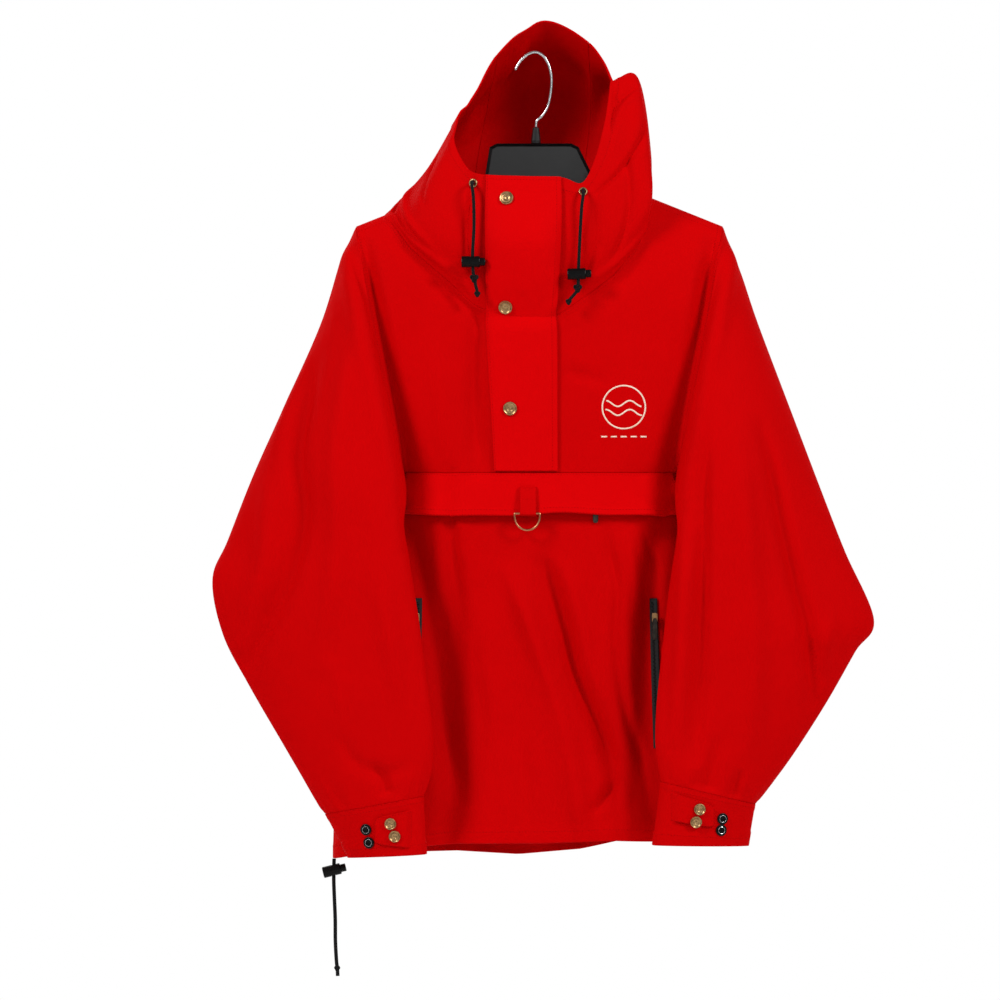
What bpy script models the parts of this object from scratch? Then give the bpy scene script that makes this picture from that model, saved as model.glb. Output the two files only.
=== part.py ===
"""Hooded half-placket anorak pullover, hanging on a plastic hanger.

Run with:  blender --background --python part.py

Frame: metres, +Z up.  The origin is the inside top of the hanger's hook, where a rail holds it.
The front faces -Y and +X is the wearer's left.  Tables and sizes below are in millimetres.
Each cloth piece is a sheet of points on a shared form with a wall to both sides.  Neighbours share
their points and wall directions at a seam, and are drawn back a little there so they never touch.
"""
import math

import bmesh
import bpy
import numpy as np
from mathutils import Matrix, Vector, kdtree
from mathutils.bvhtree import BVHTree

MM = 0.001

# ---- cloth -------------------------------------------------------------------------------------
WALL = 1.5                 # shell cloth with its seam allowances
DOUBLE_WALL = 2.0          # placket, flap and tabs, which are sewn double
SEAM = 0.19                # each piece is drawn back this much at a seam
REST = 0.35                # clearance of a piece that lies on another

# ---- body --------------------------------------------------------------------------------------
MID_X = 3.0                # middle of the body between its side seams
CENTRE_X = -14.6           # line where the two chest halves meet, hung a little off the middle
SHOULDER_TOP_Z = -135.0
SHOULDER_FLAT = 55.0       # half width of the level stretch over the hanger's middle
SHOULDER_SLOPE = 0.40
SHOULDER_HALF = 206.0      # from the middle to the shoulder end
UNDERARM_HALF = 157.5
UNDERARM_Z = -471.5        # also the level of the seam across the chest
HEM_HALF = 232.0
SIDE_HEM_Z = -906.0
FRONT_Y = -42.0            # depth of the front panels at their middle
BACK_Y = 52.0
SIDE_SEAM_Y = 25.0         # the side seams hang behind the sleeves
SHOULDER_END_Z = SHOULDER_TOP_Z - SHOULDER_SLOPE * (SHOULDER_HALF - SHOULDER_FLAT)
ARM_CENTRE_Z = (SHOULDER_END_Z + UNDERARM_Z) / 2
ARM_HALF_HEIGHT = (SHOULDER_END_Z - UNDERARM_Z) / 2

RING_STEPS = 20            # points round an armhole, a sleeve and a cuff
RIB_STEPS = 2              # columns of cloth between two ribs of the hood
SHOULDER_STEPS = 3
SHOULDER_SHARE = 0.22      # share of a half panel's base that hangs from the shoulder
LOWER_ROWS = 13

# Large folds of the hanging cloth: a line down the panel, half width, height out of the cloth.
# x_top, z_top, x_bottom, z_bottom, half_width, height
FRONT_FOLDS = (
    (-4, -545, 84, -800, 15, -8.0),
    (-30, -560, 50, -860, 18, 6.0),
    (-103, -540, -98, -890, 16, -8.0),
    (92, -530, 96, -880, 16, 6.0),
    (128, -545, 132, -880, 12, -7.0),
    (-60, -600, -66, -890, 18, 4.0),
)
BACK_FOLDS = (
    (-40, -330, -90, -860, 20, 7.0),
    (30, -380, 64, -880, 17, -7.0),
    (118, -430, 128, -880, 18, 6.0),
    (-130, -450, -146, -880, 16, -6.0),
)
# Hem height across the panels: share of the half width from -1 to 1, z
FRONT_HEM = ((-1.0, -906), (-0.75, -893), (-0.4, -886), (0.0, -886), (0.35, -883), (0.7, -885), (1.0, -886))
BACK_HEM = ((-1.0, -906), (-0.75, -901), (-0.4, -899), (-0.1, -903), (0.2, -897), (0.4, -887), (1.0, -886))

# ---- hood and collar ---------------------------------------------------------------------------
# Ribs of the hood, in order round the neck from the front middle over the wearer's right shoulder.
# The foot lies on the body: side -1 on the front, 0 on the shoulder line, 1 on the back.
# foot_x, foot_z, side, low x, y, z, high x, y, z, rim x, y, z
HOOD_RIBS = (
    (-14.6, -297, -1, -14.6, -50, -245, -14.6, -52, -190, -14.6, -46, -140),
    (-66, -286, -1, -66, -49, -240, -66, -49, -188, -65, -40, -137),
    (-100, -256, -1, -97, -48, -215, -91, -43, -170, -81, -28, -125),
    (-140, -221, -1, -134, -36, -190, -119, -30, -150, -92, -12, -100),
    (-164, -190, -1, -150, -8, -170, -121, -4, -134, -90, 0, -80),
    (-172, 0, 0, -154, 10, -165, -121, 18, -126, -85, 12, -64),
    (-132, -184, 1, -124, 60, -160, -97, 82, -100, -71, 22, -49),
    (-70, -188, 1, -74, 92, -160, -60, 116, -70, -43, 30, -2),
    (-15, -190, 1, -12, 106, -155, 0, 128, -45, 5, 26, 34),
    (54, -185, 1, 52, 94, -155, 62, 110, -60, 57, 26, 9),
    (102, -173, 1, 106, 62, -145, 104, 72, -62, 83, 14, -30),
    (128, 0, 0, 126, 14, -112, 112, 14, -27, 82, -5, -35),
    (121, -181, -1, 127, -26, -126, 114, -12, -46, 80, -14, -52),
    (115, -212, -1, 126, -46, -165, 109, -36, -92, 75, -24, -82),
    (86, -249, -1, 97, -49, -200, 90, -44, -142, 64, -32, -122),
    (54, -274, -1, 57, -52, -225, 56, -50, -180, 50, -38, -147),
    (22, -295, -1, 25, -50, -240, 27, -51, -188, 27, -43, -141),
)
RIB_COUNT = len(HOOD_RIBS)
CENTRE_PANEL = (7, 9)      # ribs at the two seams of the hood's centre panel
SHOULDER_RIBS = (5, 11)
BACK_RIB = 8               # rib at the middle of the back
HOOD_ROWS = 10

# ---- sleeves -----------------------------------------------------------------------------------
# Sections of both sleeves from the armhole to the cuff seam, each a flattened ring between an
# outer and an inner fold.  right and left are the wearer's.
# right outer x, z, right inner x, z, left outer x, z, left inner x, z, y inner, y outer, depth
SLEEVE_SECTIONS = (
    (-210, -211, -161, -478, 215, -212, 167, -478, -3, 3, 96),
    (-221, -236, -160, -489, 230, -250, 167, -490, -20, 0, 100),
    (-243, -306, -155, -504, 248, -304, 163, -506, -40, -4, 100),
    (-286, -403, -149, -530, 286, -405, 157, -535, -60, -8, 90),
    (-318, -475, -144, -562, 318, -490, 152, -570, -70, -14, 76),
    (-346, -547, -138, -600, 345, -560, 146, -610, -76, -20, 64),
    (-363, -591, -132, -637, 377, -636, 141, -655, -79, -26, 54),
    (-351, -652, -126, -685, 356, -671, 137, -692, -80, -32, 48),
    (-322, -708, -120, -728, 325, -725, 133, -735, -80, -38, 46),
    (-284, -773, -116, -768, 291, -778, 132, -772, -79, -44, 44),
    (-255, -822, -118, -802, 265, -814, 135, -795, -77, -48, 44),
    (-236, -852, -127, -831, 243, -841, 138, -815, -75, -50, 42),
)
SLEEVE_ROWS = 17
# Lower edge of the cuffs: outer x, z, inner x, z, y inner, y outer, depth
CUFF_EDGE = {
    "right": (-210, -901, -124, -896, -75, -50, 38),
    "left": (235, -888, 129, -886, -75, -50, 38),
}
CUFF_ROWS = 3

# ---- flap, placket and tabs --------------------------------------------------------------------
FLAP_BOTTOM_Z = -518.0
FLAP_INSET = 9.0           # from the side seams to the flap's ends
FLAP_LIFT = 7.5            # how far its free edge stands off the panel
PLACKET_LEFT_SHARE = 0.80  # ribs of the hood at the placket's two edges
PLACKET_RIGHT_SHARE = -0.99
PLACKET_BOTTOM = ((-47.8, -469.5), (23.5, -469.5))
# Cuff tabs: sewn end x, tip x, upper edge z at both, lower edge z at both
CUFF_TABS = {
    "right": (-139, -180, -846, -855, -889, -884),
    "left": (148, 196, -826, -841, -858, -866),
}

# ---- snaps, eyelets and cords ------------------------------------------------------------------
SNAP_RADIUS = 7.8
SNAPS = ((-34.0, -165.0), (-35.4, -286.3), (-30.2, -399.6))
CAP_RADIUS = 6.3
CAPS = {"right": ((-163.0, -861.5), (-158.3, -875.5)), "left": ((180.3, -845.4), (176.2, -859.4))}
SOCKET_RADIUS = 5.6
SOCKETS = {"right": ((-190.4, -868.4), (-187.0, -883.0)), "left": ((206.0, -856.4), (204.4, -869.2))}
EYELET_RADIUS = 5.0
EYELET_HOLE = 2.7
EYELETS = {"right": (-71.0, -147.5), "left": (51.5, -157.0)}
HOOD_CORD = 3.6
HEM_CORD = 4.2
CORD_SPACING = 2.4         # points on a cord, in diameters
HOOD_CORD_Y = -58.5        # the hanging stretch of the hood cords
HEM_CORD_Y = 25.0
# Routes from the eyelet or hem to the cord's end; a larger radius is a knot: x, y, z, radius
CORD_ROUTES = {
    "hood_cord_right": (
        (-71.4, -41.9, -147.2, 1.0), (-72.2, -44.6, -146.5, 1.0), (-72.8, -50.0, -147.6, 1.0),
        (-72.4, -54.6, -153, 1.0), (-71.0, -57.8, -166, 1.0), (-70.4, HOOD_CORD_Y, -195, 1.0),
        (-71.8, HOOD_CORD_Y, -222, 1.0), (-72.0, HOOD_CORD_Y, -236, 1.0), (-71.4, HOOD_CORD_Y, -247, 1.0),
        (-70.6, HOOD_CORD_Y, -252, 2.6), (-69.4, HOOD_CORD_Y, -256, 2.4), (-68.6, HOOD_CORD_Y, -262, 1.0),
        (-67.4, HOOD_CORD_Y, -267, 1.0), (-66.8, HOOD_CORD_Y, -271, 2.0), (-66.4, HOOD_CORD_Y, -275, 1.5)),
    "hood_cord_left": (
        (51.5, -44.1, -156.2, 1.0), (51.5, -46.8, -155.1, 1.0), (51.6, -51.2, -156.0, 1.0),
        (51.4, -55.4, -162, 1.0), (49.8, -58.0, -174, 1.0), (48.2, HOOD_CORD_Y, -200, 1.0),
        (46.8, HOOD_CORD_Y, -228, 1.0), (46.0, HOOD_CORD_Y, -249, 1.0), (46.0, HOOD_CORD_Y, -260, 1.0),
        (45.6, HOOD_CORD_Y, -264, 2.4), (44.6, HOOD_CORD_Y, -268, 2.2), (41.0, HOOD_CORD_Y, -273, 1.0),
        (37.4, HOOD_CORD_Y, -277, 1.0), (35.4, HOOD_CORD_Y, -280, 2.0), (34.0, HOOD_CORD_Y, -283, 1.5)),
    "hem_cord": (
        (-228.6, HEM_CORD_Y, -906.6, 1.0), (-228.8, HEM_CORD_Y, -912, 1.0), (-229, HEM_CORD_Y, -922, 1.0),
        (-229, HEM_CORD_Y, -934, 1.0), (-228.4, HEM_CORD_Y, -950, 1.0), (-227.4, HEM_CORD_Y, -975, 1.0),
        (-227.2, HEM_CORD_Y, -1000, 1.0), (-226, HEM_CORD_Y, -1022, 1.0), (-225.2, HEM_CORD_Y, -1029, 1.0),
        (-224.8, HEM_CORD_Y, -1034, 1.6), (-224.6, HEM_CORD_Y, -1039, 1.2)),
}

# Cord locks: barrel lying across the cord, with a spring plunger at one end.
LOCK_RADIUS = 6.3
LOCK_LEFT = -12.5          # barrel from here to LOCK_RIGHT along its own axis, cord at 0
LOCK_RIGHT = 8.0
PLUNGER_RADIUS = 4.4
PLUNGER_IN = 5.8
PLUNGER_OUT = 14.0
PLUNGER_TRAVEL = 2.0
# cord x, height, depth, tilt of the barrel in degrees
LOCKS = {
    "hood_right": (-71.9, -236.0, HOOD_CORD_Y, 0.0, HOOD_CORD),
    "hood_left": (46.3, -249.5, HOOD_CORD_Y, 2.0, HOOD_CORD),
    "hem": (-229.0, -919.5, HEM_CORD_Y, 14.0, HEM_CORD),
}

# ---- D-ring and zips ---------------------------------------------------------------------------
TAB_X = (-19.3, -1.1)
TAB_TOP_Z = -487.0
RING_X = -11.0
RING_BAR_Z = -516.8
RING_HALF = 14.2
RING_DROP = 18.6
RING_WIRE = 2.4
STRAP_WALL = 1.2
STRAP_SLACK = 0.45         # between the ring's bar and the strap folded round it
STRAP_UPPER = 2.2          # depth of the strap where it is sewn down
# Hand-pocket zips on the lower front: x at the top and the bottom, z at the top and the bottom
POCKET_ZIPS = {"right": (-134.0, -138.0, -612.0, -780.0), "left": (131.2, 136.5, -612.0, -780.0)}
ZIP_TAPE_HALF = 5.5
ZIP_TAPE = 1.2
ZIP_LIFT = {"right": 1.05, "left": 1.75}   # clearance over the folds beside the pockets
SLIDERS = {"right": (-134.4, -634.0), "left": (131.8, -634.0), "chest": (65.4, -500.0)}
SLIDER_SIZE = {"right": (7.0, 3.2, 12.0), "left": (7.0, 3.2, 12.0), "chest": (7.0, 2.4, 12.0)}
PULL_WIDTH = 6.6
PULL_THICK = 1.6
PULL_GAP = 0.8             # between a slider's face and its pull
PULL_HEAD = 1.0            # of the pull above its pivot
CHEST_PULL_OUT = 1.4       # the chest pull hangs below its slider, this far out of the cloth
PULL_LENGTH = {"right": 20.0, "left": 24.0, "chest": 21.0}

# ---- hanger ------------------------------------------------------------------------------------
HANGER_THICK = 9.0
HANGER_WEB = 3.4
HANGER_RIM = 3.4
HANGER_DROP = 4.2          # arms lie this far under the shoulder line
HANGER_HALF = 188.0
HANGER_ARM_START = 62.0
HANGER_BLOCK_X = (-51.0, 45.0)
HANGER_BLOCK_Z = -101.0
HANGER_CORNER = (2.0, 6.0, 4.0)   # of the block: out at its foot, in at its top, and down
HANGER_STEM_X = -1.0
# Underside of an arm: distance from the middle, height over the shoulder end of the arm
HANGER_UNDER = ((191, -7), (184, -18), (60, 12), (30, 17))
HOOK_WIRE = 3.2
HOOK_ROUTE = (
    (-1.0, -82.7), (0.4, -75), (6.3, -69.5), (13.2, -57), (16.6, -34), (14.8, -17),
    (9.0, -4.4), (0.0, 1.6), (-9.2, -0.3), (-17.2, -7), (-21.5, -13), (-24.0, -18.5),
)

# ---- colours -----------------------------------------------------------------------------------
RED = (0.74, 0.003, 0.006)
BLACK = (0.012, 0.012, 0.013)
BRASS = (0.30, 0.21, 0.10)
COPPER_BRASS = (0.34, 0.19, 0.08)
STEEL = (0.62, 0.62, 0.63)


def clear_scene():
    """Remove what the file opened with."""
    for obj in list(bpy.data.objects):
        bpy.data.objects.remove(obj, do_unlink=True)


def finish(name, colour, roughness, metallic):
    """One Principled material."""
    mat = bpy.data.materials.new(name)
    mat.use_nodes = True
    shader = mat.node_tree.nodes["Principled BSDF"]
    shader.inputs["Base Color"].default_value = (*colour, 1.0)
    shader.inputs["Roughness"].default_value = roughness
    shader.inputs["Metallic"].default_value = metallic
    return mat


def add_object(name, mesh, mat):
    """Link a mesh as a named object with its own copy of the finish."""
    mesh.materials.append(mat.copy())
    obj = bpy.data.objects.new(name, mesh)
    bpy.context.scene.collection.objects.link(obj)
    return obj


# ---- curves and grids --------------------------------------------------------------------------
def ease(value):
    """Smooth step from 0 to 1."""
    t = np.clip(value, 0.0, 1.0)
    return t * t * (3 - 2 * t)


def spline_at(rows, where, cyclic=False):
    """Catmull-Rom curve through rows, read at fractional row numbers."""
    rows = np.asarray(rows, float)
    count = len(rows)
    where = np.asarray(where, float)
    low = np.floor(where).astype(int)
    if not cyclic:
        low = np.clip(low, 0, count - 2)
    t = (where - low).reshape((-1,) + (1,) * (rows.ndim - 1))

    def row(index):
        if cyclic:
            return rows[index % count]
        inside = rows[np.clip(index, 0, count - 1)]
        before = 2 * rows[0] - rows[1]
        after = 2 * rows[-1] - rows[-2]
        shape = (-1,) + (1,) * (rows.ndim - 1)
        inside = np.where((index < 0).reshape(shape), before, inside)
        return np.where((index > count - 1).reshape(shape), after, inside)

    a, b, c, d = row(low - 1), row(low), row(low + 1), row(low + 2)
    return 0.5 * (2 * b + (c - a) * t + (2 * a - 5 * b + 4 * c - d) * t ** 2 + (3 * b - a - 3 * c + d) * t ** 3)


def spread(count):
    """Shares from 0 to 1, closer together at both ends."""
    return (1 - np.cos(np.linspace(0, math.pi, count + 1))) / 2


def draw_back(grid, top=0.0, bottom=0.0, left=0.0, right=0.0):
    """Pull the border rows and columns of a grid in by millimetres."""
    grid = grid.copy()

    def pull(edge, inner, distance):
        step = inner - edge
        length = np.linalg.norm(step, axis=-1, keepdims=True)
        return edge + step / np.maximum(length, 1e-6) * distance

    if top:
        grid[0] = pull(grid[0], grid[1], top)
    if bottom:
        grid[-1] = pull(grid[-1], grid[-2], bottom)
    if left:
        grid[:, 0] = pull(grid[:, 0], grid[:, 1], left)
    if right:
        grid[:, -1] = pull(grid[:, -1], grid[:, -2], right)
    return grid


def grid_normals(grid, ring=False):
    """Unit normals of a grid, pointing out of the garment."""
    if ring:
        across = np.roll(grid, -1, axis=1) - np.roll(grid, 1, axis=1)
        heart = grid.mean(axis=1, keepdims=True)
    else:
        across = np.gradient(grid, axis=1)
        heart = np.stack([0 * grid[..., 0] + MID_X, 0 * grid[..., 0] + 12, grid[..., 2]], axis=-1)
    normal = np.cross(across, np.gradient(grid, axis=0))
    normal /= np.maximum(np.linalg.norm(normal, axis=-1, keepdims=True), 1e-9)
    return normal * np.sign(np.sum(normal * (grid - heart)))


def move_out(grid, distance):
    """Move a grid out of the cloth by a distance in millimetres, one value or one per row."""
    distance = np.reshape(distance, (-1, 1, 1))
    return grid + grid_normals(grid) * distance


def border(rows, columns, ring):
    """Flat numbers of a grid's border points."""
    index = np.arange(rows * columns).reshape(rows, columns)
    ends = [index[0], index[-1]]
    if not ring:
        ends += [index[1:-1, 0], index[1:-1, -1]]
    return np.concatenate(ends)


def share_seam_normals(sheets):
    """Where sheets meet at a seam, give their border points the mean of their normals."""
    places = []
    for number, sheet in enumerate(sheets):
        rows, columns = sheet["grid"].shape[:2]
        sheet["normals"] = grid_normals(sheet["grid"], sheet["ring"]).reshape(-1, 3)
        places += [(number, index) for index in border(rows, columns, sheet["ring"])]
    tree = kdtree.KDTree(len(places))
    for key, (number, index) in enumerate(places):
        tree.insert(sheets[number]["grid"].reshape(-1, 3)[index].tolist(), key)
    tree.balance()
    shared = []
    for number, index in places:
        point = sheets[number]["grid"].reshape(-1, 3)[index].tolist()
        near = [places[key] for _, key, _ in tree.find_range(point, 0.02)]
        total = sum(sheets[other]["normals"][place] for other, place in near)
        shared.append(total / np.linalg.norm(total))
    for (number, index), normal in zip(places, shared):
        sheets[number]["normals"][index] = normal


def rim_faces(rim, far, height):
    """Faces along one edge of a wall, split the same way on both sides of a seam.

    The split runs from the outer point of an edge's lower end to the inner point of its upper end.
    """
    a, b = rim[1:], rim[:-1]
    from_a = np.stack([a, b, b + far, a + far], axis=-1)
    from_b = np.stack([b, b + far, a + far, a], axis=-1)
    lower = (height[a] < height[b])[:, None]
    return np.where(lower, from_a, from_b).tolist()


def walled_sheet(name, grid, normals, mat, wall, ring=False):
    """A closed wall round a grid of points, half its thickness to each side."""
    rows, columns = grid.shape[:2]
    index = np.arange(rows * columns).reshape(rows, columns)
    if ring:
        index = np.concatenate([index, index[:, :1]], axis=1)
    outer = np.stack([index[:-1, :-1], index[:-1, 1:], index[1:, 1:], index[1:, :-1]], axis=-1).reshape(-1, 4)
    rims = [index[0, ::-1], index[-1]]
    if not ring:
        rims += [index[:, 0], index[::-1, -1]]
    far = rows * columns
    faces = outer.tolist() + (outer[:, ::-1] + far).tolist()
    flat = grid.reshape(-1, 3)
    for rim in rims:
        faces += rim_faces(rim, far, flat[:, 2] + flat[:, 0] / 100)
    step = normals.reshape(-1, 3) * wall / 2
    mesh = bpy.data.meshes.new(name)
    mesh.from_pydata((np.concatenate([flat + step, flat - step]) * MM).tolist(), [], faces)
    bm = bmesh.new()
    bm.from_mesh(mesh)
    bmesh.ops.recalc_face_normals(bm, faces=bm.faces)
    bm.to_mesh(mesh)
    bm.free()
    mesh.shade_smooth()
    mesh.set_sharp_from_angle(angle=math.radians(50))
    return add_object(name, mesh, mat)


def cloth(sheets, name, grid, ring=False, **trims):
    """Note a sheet of the shell for its wall, with the distances it is drawn back at its seams."""
    sheets.append({"name": name, "grid": grid, "ring": ring, "trims": trims})


def build_sheets(sheets, mat):
    """Give every noted sheet its wall."""
    share_seam_normals(sheets)
    for sheet in sheets:
        grid = draw_back(sheet["grid"], **sheet["trims"])
        walled_sheet(sheet["name"], grid, sheet["normals"], mat, WALL, sheet["ring"])


def laid_sheet(name, grid, mat, wall):
    """A sheet that lies on another piece."""
    return walled_sheet(name, grid, grid_normals(grid), mat, wall)


# ---- the body's form ---------------------------------------------------------------------------
def shoulder_z(x):
    """Height of the shoulder line over x."""
    return SHOULDER_TOP_Z - SHOULDER_SLOPE * np.maximum(np.abs(x - MID_X) - SHOULDER_FLAT, 0)


def half_width(z):
    """Half width of the body: the armhole line above the underarm, the side seam below it."""
    up = np.clip((z - UNDERARM_Z) / (SHOULDER_END_Z - UNDERARM_Z), 0, 1)
    down = np.clip((UNDERARM_Z - z) / (UNDERARM_Z - SIDE_HEM_Z), 0, 1)
    return (UNDERARM_HALF + (SHOULDER_HALF - UNDERARM_HALF) * up
            + (HEM_HALF - UNDERARM_HALF) * np.sin(down * math.pi / 2))


def fold_depth(x, z, folds):
    """Sum of the soft folds: a bell across each line, fading in and out along it."""
    total = np.zeros(np.broadcast(x, z).shape)
    for x_top, z_top, x_bottom, z_bottom, width, height in folds:
        along = (z_top - z) / (z_top - z_bottom)
        line = x_top + (x_bottom - x_top) * np.clip(along, 0, 1.2)
        fade = ease(along * 4) * ease((1.15 - along) * 4)
        total += height * fade * np.exp(-((x - line) / width) ** 2)
    return total


def body_y(x, z, side):
    """Depth of the front (side -1) or back (side 1) at x and z.

    The sheet rounds over the shoulder line, follows half an ellipse down each armhole, and below
    it rounds back to the side seam.
    """
    inside = half_width(z) - np.abs(x - MID_X)
    rounding = 80 + 40 * ease((UNDERARM_Z - z) / 150)
    share = np.clip(inside / rounding, 0, 1)
    across = np.sqrt(1 - (1 - share) ** 2)
    over = np.clip((shoulder_z(x) - z) / ARM_HALF_HEIGHT, 0, 1)
    over = np.sqrt(1 - (1 - over) ** 2)
    open_edge = np.clip((ARM_CENTRE_Z - z) / ARM_HALF_HEIGHT, 0, 1)
    open_edge = np.sqrt(1 - open_edge ** 2)
    seam = SIDE_SEAM_Y * ease((UNDERARM_Z - z) / 45)
    middle = FRONT_Y if side < 0 else BACK_Y
    folds = FRONT_FOLDS if side < 0 else BACK_FOLDS
    depth = seam + (middle - seam) * over * (open_edge + (1 - open_edge) * across)
    return depth + side * fold_depth(x, z, folds) * across


def on_body(x, z, side):
    """Points of the body's front or back."""
    return np.stack([x, body_y(x, z, side), z], axis=-1)


# ---- the hood's form ---------------------------------------------------------------------------
def rib_points():
    """Four points of every rib: foot on the body, low, high and rim."""
    ribs = []
    for foot_x, foot_z, side, *rest in HOOD_RIBS:
        if side == 0:
            foot_z = float(shoulder_z(foot_x))
        foot_y = float(body_y(np.float64(foot_x), np.float64(foot_z), side or -1))
        ribs.append([(foot_x, foot_y, foot_z), rest[0:3], rest[3:6], rest[6:9]])
    return np.array(ribs, float)


def hood_grid(first, last, steps, rows=HOOD_ROWS):
    """Grid of the hood between two rib numbers, foot row first."""
    columns = spline_at(rib_points(), np.linspace(first, last, steps + 1), cyclic=True)
    columns[:, 0] = foot_line(first, last, steps)
    levels = np.linspace(0, 3, rows + 1)
    return np.stack([spline_at(column, levels) for column in columns], axis=1)


def foot_line(first, last, steps):
    """The neck seam between two rib numbers, lying on the body's form."""
    where = np.linspace(first, last, steps + 1)
    feet = rib_points()[:, 0]
    low = np.floor(where).astype(int)
    part = (where - low)[:, None]
    straight = feet[low % RIB_COUNT] * (1 - part) + feet[(low + 1) % RIB_COUNT] * part
    points = (straight + spline_at(feet, where, cyclic=True)) / 2
    share = np.mod(where, RIB_COUNT)
    behind = (share > SHOULDER_RIBS[0]) & (share < SHOULDER_RIBS[1])
    level = np.minimum(points[:, 2], shoulder_z(points[:, 0]))
    front = body_y(points[:, 0], level, -1)
    back = body_y(points[:, 0], level, 1)
    on_line = np.isclose(share, SHOULDER_RIBS[0]) | np.isclose(share, SHOULDER_RIBS[1])
    depth = np.where(on_line, 0.0, np.where(behind, back, front))
    return np.stack([points[:, 0], depth, level], axis=-1)


def build_hood(sheets):
    """Two side panels, which also make the collar, and a centre panel between them."""
    grids = {}
    seam_a, seam_b = CENTRE_PANEL
    panels = (("hood_side_right", 0, seam_a), ("hood_centre", seam_a, seam_b),
              ("hood_side_left", seam_b, RIB_COUNT))
    for name, first, last in panels:
        grid = hood_grid(first, last, (last - first) * RIB_STEPS)
        cloth(sheets, name, grid, top=2 * SEAM, left=SEAM, right=SEAM)
        grids[name] = grid
    return grids


# ---- body panels -------------------------------------------------------------------------------
def chest_top(side_sign, behind):
    """Top edge of a half panel from the shoulder end to the middle: shoulder, then neck seam."""
    rib = SHOULDER_RIBS[0] if side_sign < 0 else SHOULDER_RIBS[1]
    middle_rib = BACK_RIB if behind else (0 if side_sign < 0 else RIB_COUNT)
    neck = foot_line(rib, middle_rib, abs(middle_rib - rib) * RIB_STEPS)
    end_x = MID_X + side_sign * SHOULDER_HALF
    shoulder_x = np.linspace(end_x, neck[0, 0], SHOULDER_STEPS + 1)[:-1]
    shoulder = np.stack([shoulder_x, np.zeros_like(shoulder_x), shoulder_z(shoulder_x)], axis=-1)
    return np.concatenate([shoulder, neck])


def level_x(top, side_sign, middle_x):
    """Where the columns of a half panel meet the underarm level.

    Those from the shoulder take a fixed share, the others are spaced as along the neck seam.
    """
    step = np.hypot(np.diff(top[:, 0]), np.diff(top[:, 2]))
    step[:SHOULDER_STEPS] *= SHOULDER_SHARE / step[:SHOULDER_STEPS].sum()
    step[SHOULDER_STEPS:] *= (1 - SHOULDER_SHARE) / step[SHOULDER_STEPS:].sum()
    share = np.concatenate([[0], np.cumsum(step)])
    edge = MID_X + side_sign * UNDERARM_HALF
    return edge + (middle_x - edge) * share


def upper_half(side_sign, behind, middle_x):
    """Grid of one upper half panel from its top edge down to the underarm level."""
    top = chest_top(side_sign, behind)
    base = level_x(top, side_sign, middle_x)
    share = spread(RING_STEPS // 2)[:, None]
    x = top[None, :, 0] + (base - top[:, 0])[None] * share
    z = top[None, :, 2] + (UNDERARM_Z - top[:, 2])[None] * share
    side = 1 if behind else -1
    grid = on_body(x, z, side)
    grid[0] = top
    return grid


def lower_grid(base_x, side):
    """Grid of a lower panel from the underarm level to the hem."""
    share = np.linspace(0, 1, LOWER_ROWS + 1)[:, None]
    table = np.array(FRONT_HEM if side < 0 else BACK_HEM, float)
    across = (base_x - MID_X) / UNDERARM_HALF
    hem = np.interp(across, table[:, 0], table[:, 1])
    z = UNDERARM_Z + (hem[None] - UNDERARM_Z) * share ** 1.15
    x = MID_X + across[None] * half_width(z)
    return on_body(x, z, side)


def back_middle_x():
    """The back's middle column hangs from the middle of the hood's foot."""
    return HOOD_RIBS[BACK_RIB][0]


def build_body(sheets):
    """Two chest halves, the lower front and one back."""
    right = upper_half(-1, False, CENTRE_X)
    left = upper_half(1, False, CENTRE_X)
    all_round = {"top": SEAM, "bottom": SEAM, "left": 3 * SEAM, "right": SEAM}
    cloth(sheets, "chest_right", right, **all_round)
    cloth(sheets, "chest_left", left, **all_round)
    base = np.concatenate([right[-1, :, 0], left[-1, ::-1, 0][1:]])
    front = lower_grid(base, -1)
    cloth(sheets, "front_lower", front, top=SEAM, left=SEAM, right=SEAM)
    back_right = upper_half(-1, True, back_middle_x())
    back_left = upper_half(1, True, back_middle_x())[:, ::-1]
    upper = np.concatenate([back_right, back_left[:, 1:]], axis=1)
    lower = lower_grid(upper[-1, :, 0], 1)
    back = np.concatenate([upper, lower[1:]])
    cloth(sheets, "back", back, top=SEAM, left=SEAM, right=SEAM)
    return front


def build_flap(mat):
    """Flap over the chest pocket, hung from the chest seam and standing off at its free edge."""
    share = np.linspace(0, 1, 4)[:, None]
    z = UNDERARM_Z - 2 * SEAM + (FLAP_BOTTOM_Z - UNDERARM_Z) * share
    across = np.sin(np.linspace(-1, 1, 29) * math.pi / 2)[None]
    x = MID_X + across * (half_width(z) - FLAP_INSET)
    grid = on_body(x, z + 0 * x, -1)
    lift = (WALL + DOUBLE_WALL) / 2 + REST + FLAP_LIFT * share ** 1.2
    grid = move_out(grid, lift)
    laid_sheet("chest_flap", grid, mat, DOUBLE_WALL)
    return grid


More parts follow.
